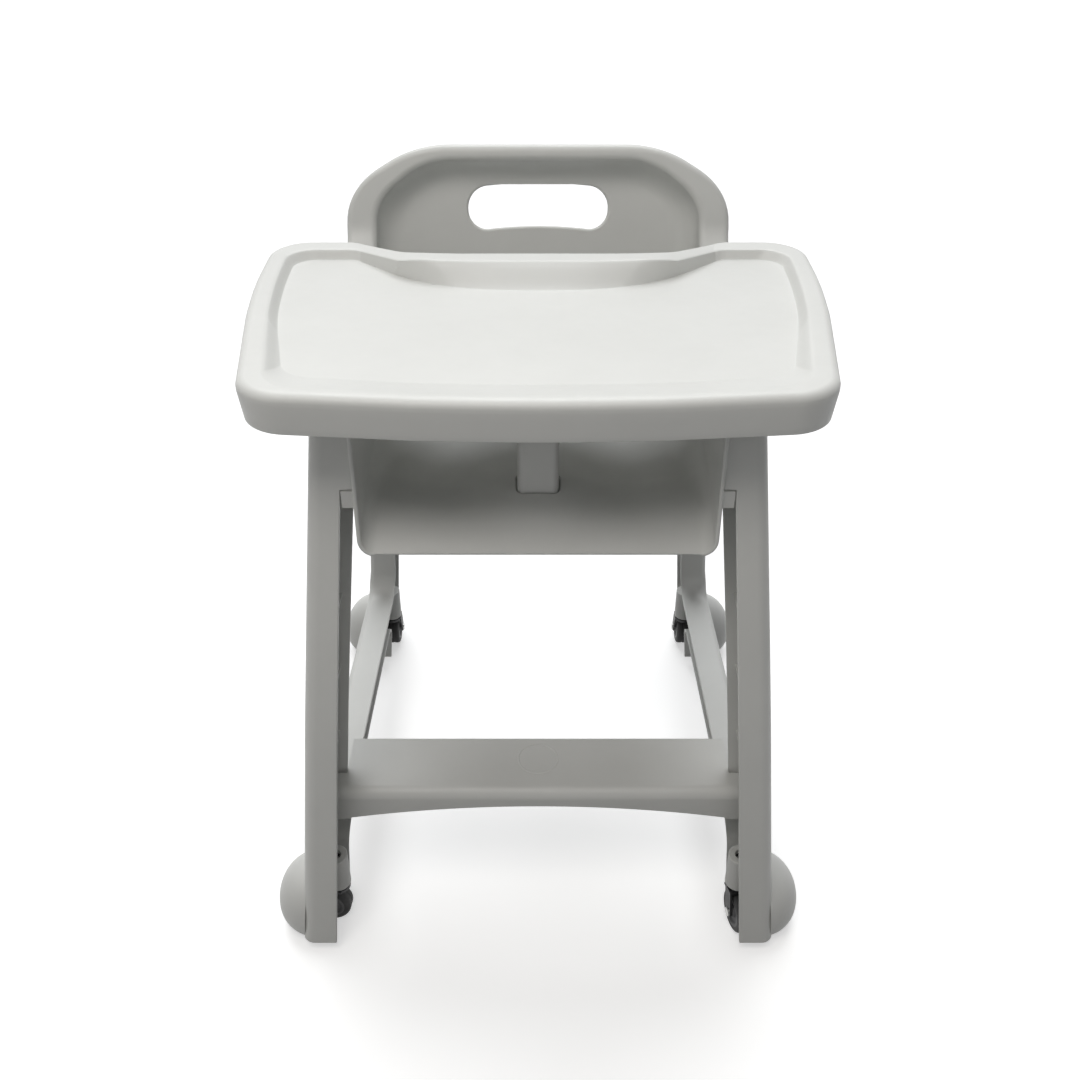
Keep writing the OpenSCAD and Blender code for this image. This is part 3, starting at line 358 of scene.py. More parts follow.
def side_frame(name, sx):
    """Channel moulding, built for +X and mirrored by sx."""
    K, C = 12, 16
    frame_out = outline(
        sharp(rear_y, FOOT_Z, NOTCH_Z) + [[KNEE_R, KNEE_Z, BOW_R, K]]
        + sharp(rear_y, LIP_STEP, LIP_STEP + LIP_RISE) + [[TOP_REAR, FRAME_TOP, TOP_R, C]]
        + [[y, FRAME_TOP, 0, 1] for y in TOP_Y]
        + [[-TOP_FRONT, FRAME_TOP, TOP_R, C]] + sharp(front_y, LIP_STEP + LIP_RISE, LIP_STEP)
        + [[-KNEE_F, KNEE_Z, BOW_R, K]] + sharp(front_y, NOTCH_Z, FOOT_Z)
        + [[-FOOT_IN, FOOT_Z, 0, 1], [-FOOT_IN - 1, NOTCH_Z, 0, 1], [-FOOT_IN - 4, RAIL_LF, 26, C],
           [0, (RAIL_LF + RAIL_LR) / 2 + RAIL_ARCH, BOW_R, K], [FOOT_IN + 4, RAIL_LR, 22, C],
           [FOOT_IN + 1, NOTCH_Z, 0, 1], [FOOT_IN, FOOT_Z, 0, 1]])
    window = outline(
        sharp(window_rear, 152, 158) + [[window_rear(KNEE_Z), KNEE_Z, BOW_R, K]]
        + sharp(window_rear, 430, 445) + [[window_rear(WIN_TOP), WIN_TOP, WIN_R, C]]
        + [[y, WIN_TOP, 0, 1] for y in WIN_Y]
        + [[window_front(WIN_TOP), WIN_TOP, WIN_R, C]] + sharp(window_front, 445, 430)
        + [[window_front(KNEE_Z), KNEE_Z, BOW_R, K]] + sharp(window_front, 180, 171, 162, 153)
        + [[window_front(RAIL_TF), RAIL_TF, 24, C],
           [0, (RAIL_TF + RAIL_TR) / 2 + RAIL_ARCH / 2, BOW_R, K], [window_rear(RAIL_TR), RAIL_TR, 26, C]]
        + sharp(window_rear, 140, 146))
    n = len(frame_out)
    mid = (FOOT_Y + FOOT_IN) / 2
    on = [q if p[1] > FOOT_Z + 0.1 else [(-1 if abs(p[0]) > mid else 1) * (1 if p[0] > 0 else -1), 0]
          for p, q in zip(frame_out, normals(frame_out))]
    wn = normals(window)
    lip = [lip_x(*p) for p in frame_out]
    wlip = [lip_x(*p) for p in window]

    def at(p, back):
        return [(out_x(*v) - back, v[0], v[1]) for v in p]

    def to_lip(p, x):
        return [(x[i], v[0], v[1]) for i, v in enumerate(p)]

    def outer(d):
        return inset(frame_out, on, d)

    def inner(d):
        return inset(window, wn, -d)

    def ang(k, m):
        return math.pi / 2 * k / m

    w, t, A, B = WINROUND, WALL, 8, 6
    radii = [max(t + 0.5, min(ROUND, out_x(*p) - x - 0.5)) for p, x in zip(frame_out, lip)]

    def edge_ring(in0, in1, back0, back1):
        out = []
        for p, q, r in zip(frame_out, on, radii):
            y, z = p[0] + q[0] * (in0 + in1 * r), p[1] + q[1] * (in0 + in1 * r)
            out.append((out_x(y, z) - back0 - back1 * r, y, z))
        return out

    rings = [to_lip(outer(EDGE), lip), to_lip(outer(0), [x + EDGE for x in lip])]
    rings += [edge_ring(0, 1 - math.cos(ang(k, A)), 0, 1 - math.sin(ang(k, A))) for k in range(A + 1)]
    face = len(rings) - 1
    rings += [at(inner(w * (1 - math.cos(ang(k, B)))), w * (1 - math.sin(ang(k, B))))
              for k in range(B, -1, -1)]
    rings += [to_lip(inner(0), [x + EDGE for x in wlip]), to_lip(inner(EDGE), wlip),
              to_lip(inner(t), wlip), at(inner(t), w), at(inner(w), t)]
    back = len(rings) - 1
    rings += [edge_ring(0, 1, t, 0)]
    for k in range(3, 0, -1):
        c, d = 1 - math.cos(ang(k, 4)), 1 - math.sin(ang(k, 4))
        rings += [edge_ring(t * (1 - c), c, t * (1 - d), d)]
    rings += [edge_ring(t, 0, 0, 1), to_lip(outer(t), lip)]
    m = len(rings)
    front = [i for i, p in enumerate(frame_out) if p == [front_y(NOTCH_Z), NOTCH_Z]][0]
    feet = [front, n - 2]

    def vid(i, j):
        return (i % m) * n + j % n

    in_foot = {(f + k) % n for f in feet for k in range(3)}
    floor = {(f + 1) % n for f in feet}
    faces = []
    for i in range(m):
        for j in range(n):
            if j in in_foot and i in (face, back):
                continue
            if j in floor and (i < face or i > back):
                continue
            faces.append((vid(i, j), vid(i, j + 1), vid(i + 1, j + 1), vid(i + 1, j)))
    edge = list(range(face + 1)) + list(range(back + 1, m))
    for f in feet:
        faces.append([vid(face, f), vid(face, f + 3)] + [vid(face + 1, f + k) for k in (3, 2, 1, 0)])
        faces.append([vid(back, f + k) for k in range(4)] + [vid(back + 1, f + 3), vid(back + 1, f)])
        faces.append([vid(face, f + 3), vid(face, f), vid(back + 1, f), vid(back + 1, f + 3)])
        faces.append([vid(face, f), vid(face, f + 1), vid(back + 1, f + 1), vid(back + 1, f)])
        faces.append([vid(face, f + 2), vid(face, f + 3), vid(back + 1, f + 3), vid(back + 1, f + 2)])
        faces.append([vid(k, f + 1) for k in reversed(edge)])
        faces.append([vid(k, f + 2) for k in edge])
    flip = [(x * sx, y, z) for ring in rings for x, y, z in ring]
    shell = mesh_object(name, flip, faces, 32, False)

    bolts = [(y, BOLT_Z, lip_x(y, STEP_Z)) for y in BOLT_Y] + [(TIE_Y, z, TIE_X) for z in TIE_Z]
    tools = []
    for y, z, _ in bolts:
        ring = [(POCKET_R * math.cos(a), POCKET_R * math.sin(a)) for a in turns(40)]
        ends = (out_x(y, z) - 6, out_x(y, z) + 4)
        tools.append(stack("cutter", [[(sx * x, y + a, z + b) for a, b in ring] for x in ends]))
    shell = cut(shell, join("cutters", tools))
    parts = [shell]

    def boss(y, z, x_in):
        """Loop of (radius, x, outer end); the outer end follows the leaning face."""
        seat_at = out_x(y, z) - 5
        loop = [(BOLT_BORE_R, x_in, 0), (BOLT_BOSS_R - EDGE, x_in, 0), (BOLT_BOSS_R, x_in + EDGE, 0),
                (BOLT_BOSS_R, 0, 1), (POCKET_R, 0, 1), (POCKET_R, seat_at, 0), (BOLT_BORE_R, seat_at, 0)]
        rings_b = []
        for a in turns(40):
            c, s = math.cos(a), math.sin(a)
            rings_b.append([(sx * (out_x(y + r * c, z + r * s) - FACE_BITE if far else x),
                             y + r * c, z + r * s) for r, x, far in loop])
        parts.append(stack(name + "_boss", rings_b, False, 40, False, True))

    for b in bolts:
        boss(*b)
    # hoods: open domes, each cut off inside the leg's wall
    end = math.asin((HOOD_Z - FOOT_Z) / HOOD_DROP)
    prof = [(HOOD_R * math.cos(a), HOOD_Z + HOOD_RISE * math.sin(a))
            for a in [math.radians(90 - 90 * k / 16) for k in range(17)]]
    prof += [(HOOD_R * math.cos(a), HOOD_Z + HOOD_DROP * math.sin(a))
             for a in [-end * k / 4 for k in range(1, 5)]]
    inn = [(max(0, r - HOOD_WALL * min(1, r / HOOD_R * 1.05)),
            z - HOOD_WALL * (1 - min(1, (r / HOOD_R) ** 3)) if z > FOOT_Z else FOOT_Z) for r, z in prof]
    for s in (-1, 1):
        x, y = HOOD_HALF - HOOD_R - (2 * HOOD_Y * TOE if s > 0 else 0), s * HOOD_Y
        dome = revolve(name + "_hood", prof + inn[::-1], x, y, sx, 96, False)
        bm = bmesh.new()
        bm.from_mesh(dome.data)
        co = Vector((sx * (out_x(y, HOOD_Z) - HOOD_BITE), y, HOOD_Z)) / 1000
        no = Vector((sx, TOE, LEAN)).normalized()
        bmesh.ops.bisect_plane(bm, geom=bm.verts[:] + bm.edges[:] + bm.faces[:],
                               plane_co=co, plane_no=no, clear_inner=True)
        bmesh.ops.triangle_fill(bm, edges=open_edges(bm), use_beauty=True, use_dissolve=False)
        bmesh.ops.recalc_face_normals(bm, faces=bm.faces)
        bm.to_mesh(dome.data)
        bm.free()
        parts.append(dome)

    MID = WALL / 2

    def crossing(p, axis, v):
        """Where outline p crosses the value v of an axis."""
        out = []
        for a, b in zip(p, p[1:] + p[:1]):
            if (a[axis] > v) != (b[axis] > v):
                out.append(mix(a[1 - axis], b[1 - axis], (v - a[axis]) / (b[axis] - a[axis])))
        return out

    def rib_corner(r):
        """Corner of a rib half way through a wall of radius r."""
        if r == 0:
            return [(0, MID)]
        return [(r - (r - MID) * math.cos(ang(k, 6)), r - (r - MID) * math.sin(ang(k, 6))) for k in range(7)]

    def slab(pts, lift):
        rings_r = [[lift(a, b, c) for a, b in pts] for c in (-RIB / 2, RIB / 2)]
        parts.append(stack(name + "_rib", rings_r, True, 30))

    def level(z, y0, r0, y1, r1):
        x_in = lip_x(y0, z) + 8
        lo, hi = rib_corner(r0), rib_corner(r1)
        pts = ([(x_in, y0 + lo[0][0])] + [(out_x(y0, z) - d, y0 + e) for e, d in lo]
               + [(out_x(y1, z) - d, y1 - e) for e, d in reversed(hi)] + [(x_in, y1 - hi[0][0])])
        slab(pts, lambda x, y, c: (sx * x, y, z + c))

    def upright(y, z0, r0, z1, r1, x_in):
        lo, hi = rib_corner(r0), rib_corner(r1)
        pts = ([(x_in, z0 + lo[0][0])] + [(out_x(y, z0 + e) - d, z0 + e) for e, d in lo]
               + [(out_x(y, z1 - e) - d, z1 - e) for e, d in reversed(hi)] + [(x_in, z1 - hi[0][0])])
        slab(pts, lambda x, z, c: (sx * x, y + c, z))

    for z in RIB_Z:
        legs, win = crossing(frame_out, 1, z), crossing(window, 1, z)
        level(z, legs[1], ROUND, win[1], WINROUND)
        level(z, win[0], WINROUND, legs[0], ROUND)
    for y in RIB_Y:
        win = crossing(window, 0, y)
        upright(y, crossing(frame_out, 0, y)[1], ROUND, win[1], WINROUND, lip_x(y, 100) + 8)
        upright(y, win[0], WINROUND, LEDGE_Z - 1, 0, lip_x(y, WIN_TOP) + 6)
        upright(y, STEP_Z + 2, 0, FRAME_TOP - ROUND - 1, 0, lip_x(y, FRAME_TOP) + 3)
    for s in (-1, 1):
        bx = SWIVEL_X - (2 * SWIVEL_Y * TOE if s > 0 else 0)
        for a in (-9.5, 9.5):
            upright(s * SWIVEL_Y + a, BOSS_Z + 1, 0, BOSS_Z + BOSS_H - 2, 0, bx + 9)
        ro, ri, top = BOSS_D / 2, BOSS_BORE_R, BOSS_Z + BOSS_H
        loop = [(ri, BOSS_Z), (ri + 0.6, BOSS_Z), (ro - EDGE, BOSS_Z), (ro, BOSS_Z + EDGE),
                (ro, top - EDGE), (ro - EDGE, top), (ri, top)]
        parts.append(revolve(name + "_boss", loop, bx, s * SWIVEL_Y, sx, 48))
    # shelf on the seat's ledge
    ys = [-190 + 19.5 * k for k in range(21)]
    ring = [(sx * (lip_x(y, LIP_STEP + 1) + 1.8), y) for y in ys]
    ring += [(sx * (out_x(y, STEP_Z) - MID), y) for y in reversed(ys)]
    rings = [[(x, y, z) for x, y in ring] for z in (STEP_Z, STEP_Z + SHELF)]
    parts.append(stack(name + "_shelf", rings, True, 30))
    ob = join(name, parts)
    smooth(ob, 32)
    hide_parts("side_frame_right" if sx > 0 else "side_frame_left")
    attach(ob, "chair")
    return ob


frames = [side_frame("side_shell_right", 1), side_frame("side_shell_left", -1)]


# ---------------------------------------------------------------- seat shell
TAN, SIN, COS = math.tan(RECLINE), math.sin(RECLINE), math.cos(RECLINE)
RIM_TOP, RIM_FRONT, RIM_DROP, RIM_R, RIM_LEAD = 17, 212, 16, 45, 32
PAN_FILLET, LIP_FILLET, BACK_FILLET, CORE_CORNER, HEEL_R, SWEEP_Z = 30, 13, 28, 60, 75, 690
RIDGE_R, THROAT, THROAT_REAR = 90, 3.2, 1.2
# the handle hole from its middle: width, lower corners and middle, upper corners and middle
HOLE_W, HOLE_LOW, HOLE_SAG, HOLE_HIGH, HOLE_CROWN = 166, -29, -19.5, 21, 28


def back_y(z):
    return BACK_TOP_Y - (BACK_TOP_Z - z) * TAN


PAN_FRONT, RIDGE, HEEL = [-LIP_Y, LIP_Z], [-LIP_Y + 50, RIDGE_Z], [back_y(PAN_Z), PAN_Z]
CORE_TOP = BACK_TOP_Z - BACK_DEPTH * SIN - (RIM_TOP + BACK_FILLET) * COS
CORNER_Z = CORE_TOP - CORE_CORNER * COS
RIM_BEND = [back_y(ARM_Z) - BACK_DEPTH / COS - RIM_R * math.tan(math.radians(45) - RECLINE / 2), ARM_Z]
HEEL_ARC, RIM_ARC = HEEL_R * (math.pi / 2 - RECLINE), RIM_R * (math.pi / 2 - RECLINE)


def spine_points():
    """Dense stations [u, y, z] along the shell: lip, ridge, pan, heel, back."""
    second = mix(PAN_FRONT, RIDGE, 0.22)
    crest_arc = corner(PAN_FRONT, RIDGE, HEEL, RIDGE_R, 19)
    heel_arc = corner(RIDGE, HEEL, [BACK_TOP_Y, BACK_TOP_Z], HEEL_R, 31)
    out = [[k / 6, *mix(PAN_FRONT, second, k / 6)] for k in range(6)]
    out += [[1 + k / 3, *mix(second, crest_arc[0], k / 3)] for k in range(3)]
    out += [[2 + 3 * k / 18, *p] for k, p in enumerate(crest_arc)]
    ys = [crest_arc[-1][0] + (heel_arc[0][0] - crest_arc[-1][0]) * k / 30 for k in range(1, 30)]
    stops = [[5, crest_arc[-1][0]], [6, -110], [7, -80], [8, -50], [9, 0], [10, 50], [11, heel_arc[0][0]]]
    for y in ys:
        for (u0, y0), (u1, y1) in zip(stops, stops[1:]):
            if y0 <= y <= y1:
                z = mix(RIDGE_Z, PAN_Z, (y - RIDGE[0]) / (HEEL[0] - RIDGE[0]))
                out.append([mix(u0, u1, (y - y0) / (y1 - y0)), y, z])
                break
    out += [[11 + 6 * k / 30, *p] for k, p in enumerate(heel_arc)]
    z0, z1 = heel_arc[-1][1], CORNER_Z - 24
    out += [[17 + 3 * k / 8, back_y(mix(z0, z1, k / 8)), mix(z0, z1, k / 8)] for k in range(1, 9)]
    return out, z0


SPINE, HEEL_TOP = spine_points()
LAST = len(SPINE) - 1
HEEL_START = [p for p in SPINE if abs(p[0] - 11) < 1e-6][0]


def run_z(z):
    return HEEL_ARC + (z - HEEL_TOP) / COS


def run(u, z):
    """Length along the shell from the start of the heel."""
    return 0 if u <= 11 else HEEL_ARC * (u - 11) / 6 if u < 17 else run_z(z)


RIM_FULL = RIM_LEAD + RIM_ARC + (SWEEP_Z + BACK_DEPTH * SIN - ARM_Z - RIM_R * (1 - SIN)) / COS


def rim_path(s):
    """Point [y, z] of the rim: along the arms, round the bend, up the back."""
    if s < RIM_LEAD:
        return [RIM_BEND[0] - (RIM_LEAD - s), RIM_BEND[1]]
    if s < RIM_LEAD + RIM_ARC:
        a = (s - RIM_LEAD) / RIM_R
        return [RIM_BEND[0] + RIM_R * math.sin(a), RIM_BEND[1] + RIM_R * (1 - math.cos(a))]
    d = s - RIM_LEAD - RIM_ARC
    return [RIM_BEND[0] + RIM_R * COS + d * SIN, RIM_BEND[1] + RIM_R * (1 - SIN) + d * COS]


def rim_at(s):
    full = run_z(SWEEP_Z)
    return rim_path(s * RIM_FULL / full if s < full else RIM_FULL + s - full)


def rim_of(p):
    u, y, z = p
    if u > 11:
        return rim_at(run(u, z))
    return [y + max(0, 3 - u) * 3 + (rim_at(0)[0] - HEEL_START[1]) * ease(-60, HEEL_START[1], y), ARM_Z]


def fillet_at(s):
    return mix(PAN_FILLET, BACK_FILLET, ease(0, run_z(SWEEP_Z), s))


def fillet_of(p):
    return fillet_at(run(p[0], p[2])) if p[0] > 11 else mix(LIP_FILLET, PAN_FILLET, ease(-195, -60, p[1]))


def core_half(p):
    return seat_wall_x(rim_of(p)[0]) - fillet_of(p)


def relief(x, y):
    """Height of the pan's ridge between the two thigh hollows."""
    return ((6 * math.exp(-(x / 40) ** 2) - 8 * math.exp(-((abs(x) - 88) / 38) ** 2))
            * ease(-205, -150, y) * (1 - ease(0, 90, y)))


def rim_section(r, d, f, t):
    """Fillet r, wall up to d, and a rim rolled outwards by f; t is the skin's depth."""
    q = RIM_ROLL
    out = arc(0, r, r + t, -78.75, 0, 7) + arc(r + q, d - q, q - t, 180, 90, 6)
    out += arc(r + f - q, d - q, q - t, 90, 0, 6)
    end, turn = r + f - t, -0.6 if t == 0 else 0.6
    return out + [[end, d - q - 1], [end, d - RIM_DROP + 0.6], [end + turn, d - RIM_DROP]]


def rim_points(b, row, g, side, t):
    """Section of fillet, wall and rim from core edge b. g turns from 90 at the side to 0 over the top."""
    s = run(row[0], row[2]) if row else run_z(b[2])
    top = rim_of(row) if row else rim_at(s)
    rise = [0, top[0] - b[1], top[1] - b[2]]
    d = math.hypot(rise[1], rise[2])
    w = [0, rise[1] / d, rise[2] / d]
    r = fillet_of(row) if row else fillet_at(s)
    if g is None:
        o = [side, 0, 0]
        f = mix(RIM_FRONT, RIM_HALF, ease(-100, 150, top[0])) - abs(b[0]) - r
    else:
        o = [side * math.sin(g), SIN * math.cos(g), COS * math.cos(g)]
        f = mix(RIM_TOP, RIM_HALF - BACK_HALF, math.sin(g) ** 2)
    return [[b[i] + o[i] * c[0] + w[i] * c[1] for i in range(3)] for c in rim_section(r, d, f, t)]


def handle_outline(k=14):
    w = HOLE_W / 2
    return outline([[-w, HOLE_LOW, 22, k], [0, HOLE_SAG, 520, k], [w, HOLE_LOW, 22, k],
                    [w, HOLE_HIGH, 25, k], [0, HOLE_CROWN, 560, k], [-w, HOLE_HIGH, 25, k]])


def on_back(x, v, depth):
    """Point of the back's plane: v up along it from the handle's middle, depth behind its face."""
    y0 = back_y(HANDLE_Z)
    return [x, y0 + v * SIN + depth * COS, HANDLE_Z + v * COS - depth * SIN]


def seat_shell():
    """Inner and outer skin: pan and back as a grid, the rim round it, the back's flat with its hole."""
    C, M, N = 44, 20, 12
    verts, faces, sides = [], [], {}
    hole = handle_outline()
    hn = normals(hole)

    def add(p):
        verts.append(p)
        return len(verts) - 1

    def band(p, q, closed=False):
        for k in range(len(p) if closed else len(p) - 1):
            k1 = (k + 1) % len(p)
            faces.append((p[k], p[k1], q[k1], q[k]))

    def grid_row(i, back):
        _, y, z = SPINE[i]
        h = core_half(SPINE[i])
        a, b = SPINE[max(i - 1, 0)], SPINE[min(i + 1, LAST)]
        t = unit([b[1] - a[1], b[2] - a[2]])
        xs = [h * (2 * j / C - 1) for j in range(C + 1)]
        return [[x, y + t[1] * back, z + relief(x, y) - t[0] * back] for x in xs]

    def hole_ring(grow, depth):
        return [add(on_back(p[0] - n[0] * grow, p[1] - n[1] * grow, depth)) for p, n in zip(hole, hn)]

    flat_from = [i for i, p in enumerate(SPINE) if abs(p[0] - 17) < 1e-6][0]
    h_last, z_last = core_half(SPINE[LAST]), SPINE[LAST][2]
    c = h_last - CORE_CORNER
    # left edge, top arc and right edge as (kind, value, side)
    stations = [("row", i, -1) for i in range(LAST + 1)] + [("up", k / 4, -1) for k in range(1, 5)]
    stations += [("arc", k / M * math.pi / 2, -1) for k in range(1, M + 1)]
    stations += [("flat", k / N, 0) for k in range(1, N)]
    stations += [("arc", k / M * math.pi / 2, 1) for k in range(M)]
    stations += [("up", 1 - k / 4, 1) for k in range(4)] + [("row", i, 1) for i in range(LAST, -1, -1)]
    for label, back in (("in", 0), ("out", SEAT_WALL)):
        rows = [[add(p) for p in grid_row(i, back)] for i in range(flat_from + 1)]
        for r0, r1 in zip(rows, rows[1:]):
            band(r0, r1)
        edge, secs = [], []
        for kind, val, side in stations:
            if kind == "row":
                j = 0 if side < 0 else C
                p, q = grid_row(val, 0)[j], grid_row(val, back)[j]
                sec = rim_points(p, SPINE[val], None, side, back)
                vid = rows[val][j] if val <= flat_from else add(q)
            else:
                g, row = None, None
                if kind == "up":
                    x, z = side * h_last, mix(z_last, CORNER_Z, val)
                    g, row = (math.pi / 2, None) if val == 1 else (None, [20, back_y(z), z])
                elif kind == "arc":
                    g = val if side > 0 else math.pi / 2 - val
                    x = side * (c + CORE_CORNER * math.sin(g))
                    z = CORNER_Z + CORE_CORNER * math.cos(g) * COS
                else:
                    g, x, z = 0, mix(-c, c, val), CORNER_Z + CORE_CORNER * COS
                p = [x, back_y(z), z]
                turn = side if kind == "up" else 1 if x > 0 else -1
                sec = rim_points(p, row, g, turn, back)
                vid = add([p[0], p[1] + back * COS, p[2] - back * SIN])
            edge.append(vid)
            secs.append([vid] + [add(v) for v in sec])
        for a, b in zip(secs, secs[1:]):
            for k in range(len(a) - 1):
                faces.append((a[k], b[k], b[k + 1], a[k + 1]))
        ring = hole_ring(THROAT if label == "in" else THROAT_REAR, back)
        flat = edge[flat_from:len(edge) - flat_from] + rows[flat_from][1:-1][::-1]
        sides[label] = (rows, secs, ring, flat)
    # rounded throat of the hole
    prev = sides["in"][2]
    for g, d in arc(THROAT, THROAT, THROAT, -105, -180, 5):
        cur = hole_ring(g, d)
        band(prev, cur, True)
        prev = cur
    band(prev, sides["out"][2], True)
    # end of the rim, and the rounded front edge
    a, b = sides["in"][1], sides["out"][1]
    for s0, s1, t0, t1 in zip(a, a[1:], b, b[1:]):
        faces.append((s0[-1], s1[-1], t1[-1], t0[-1]))
    front_in = a[0][::-1] + sides["in"][0][0][1:-1] + a[-1]
    front_out = b[0][::-1] + sides["out"][0][0][1:-1] + b[-1]
    prev = front_in
    for g in [math.pi * k / 6 for k in range(1, 6)]:
        cur = []
        for p, q in zip(front_in, front_out):
            x, y, z = mix(verts[p], verts[q], (1 - math.cos(g)) / 2)
            cur.append(add([x, y - 1.6 * math.sin(g), z]))
        band(prev, cur)
        prev = cur
    band(prev, front_out)
    me = bpy.data.meshes.new("seat_skin")
    me.from_pydata([Vector(v) / 1000 for v in verts], [], faces)
    bm = bmesh.new()
    bm.from_mesh(me)
    bm.verts.ensure_lookup_table()
    for _, _, ring, flat in sides.values():
        edges = []
        for lp in (flat, ring):
            for k in range(len(lp)):
                v0, v1 = bm.verts[lp[k]], bm.verts[lp[(k + 1) % len(lp)]]
                if v0 is not v1:
                    edges.append(bm.edges.get((v0, v1)) or bm.edges.new((v0, v1)))
        bmesh.ops.triangle_fill(bm, edges=edges, use_beauty=True, use_dissolve=False)
    bmesh.ops.remove_doubles(bm, verts=bm.verts, dist=MERGE)
    bmesh.ops.recalc_face_normals(bm, faces=bm.faces)
    bm.to_mesh(me)
    bm.free()
    return link("seat_skin", me)


SOCKET_TOP, SOCKET_SEAT, SOCKET_TILT, SOCKET_H, SOCKET_FLOOR = 517, 526.5, math.radians(9), 23, 3
POST_R, LEDGE_REAR = 7, 70


def seat_object():
    skin = seat_shell()
    tool_ring = round_bar(POST_W + 4, POST_T + 4, POST_R + 2)
    tool = stack("cutter", [[(x, y - POST_Y, z) for x, y in tool_ring] for z in (498, 560)])
    skin = seal(cut(skin, tool))
    parts = [skin]

    z0 = SOCKET_TOP - SOCKET_H
    out0 = round_bar(POST_W + 8, POST_T + 8, POST_R + 4)
    in0 = round_bar(POST_W + 2 * GAP, POST_T + 2 * GAP, POST_R + GAP)

    def lip(w, dz):
        """Ring of the socket's lip, w of the way inwards; it tilts with the pan."""
        ring = [mix(a, b, w) for a, b in zip(out0, in0)]
        return [(x, y - POST_Y, SOCKET_SEAT + math.tan(SOCKET_TILT) * y + dz) for x, y in ring]

    rings = [[(x, y - POST_Y, z0) for x, y in out0], lip(0, -1.4), lip(0.12, -0.4), lip(0.36, 0),
             lip(0.64, 0), lip(0.88, -0.4), lip(1, -1.4),
             [(x, y - POST_Y, z0 + SOCKET_FLOOR) for x, y in in0]]
    parts.append(stack("collar", rings, True, 50))
    start = front_y(BOLT_Z) + 0.5
    ys = [start + k * (LEDGE_REAR - front_y(BOLT_Z) - 0.5) / 12 for k in range(13)]
    for s in (-1, 1):
        ring = [(s * (lip_x(y, STEP_Z) - GAP), y) for y in ys]
        ring += [(s * (seat_wall_x(y) + 1), y) for y in reversed(ys)]
        led = stack("ledge", [[(x, y, z) for x, y in ring] for z in (LEDGE_Z, STEP_Z)], True, 30)
        b = led.modifiers.new("bevel", "BEVEL")
        b.width, b.segments, b.limit_method, b.angle_limit = 0.001, 2, "ANGLE", math.radians(50)
        parts.append(bake(led))
    ob = join("seat", parts)
    smooth(ob, 38)
    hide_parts("seat_shell")
    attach(ob, "chair")
    return ob


seat = seat_object()


# ---------------------------------------------------------------- tray
def mirrored(c):
    return c + [[-x, y, r, k] for x, y, r, k in reversed(c) if abs(x) > 0.01]


def tray_loop(front, corner_r, side, rear, shoulder, belly, belly_r):
    half = [[0, -front, 0, 1], [50, -front + 1, 0, 1], [100, -front + 3, 0, 1],
            [side - 43, -front + 17, corner_r, 18], [side - 13, -80, 600, 12], [side - 4, 0, 900, 12],
            [side, rear, shoulder + 8, 18], [196, rear, shoulder, 12], [128, belly + 2, belly_r, 12]]
    return outline(mirrored(half + [[x, belly, 0, 1] for x in (84, 70, 56, 42, 28, 14, 0)]))


def belly_arc(loop, low, reach, high, power):
    """Bend the child's side of a loop into one sweep, from low in the middle to high at reach."""
    out = []
    for x, y in loop:
        bent = low + (high - low) * (abs(x) / reach) ** power
        out.append([x, bent if abs(x) < reach - 6 and y > -60 else y])
    return out


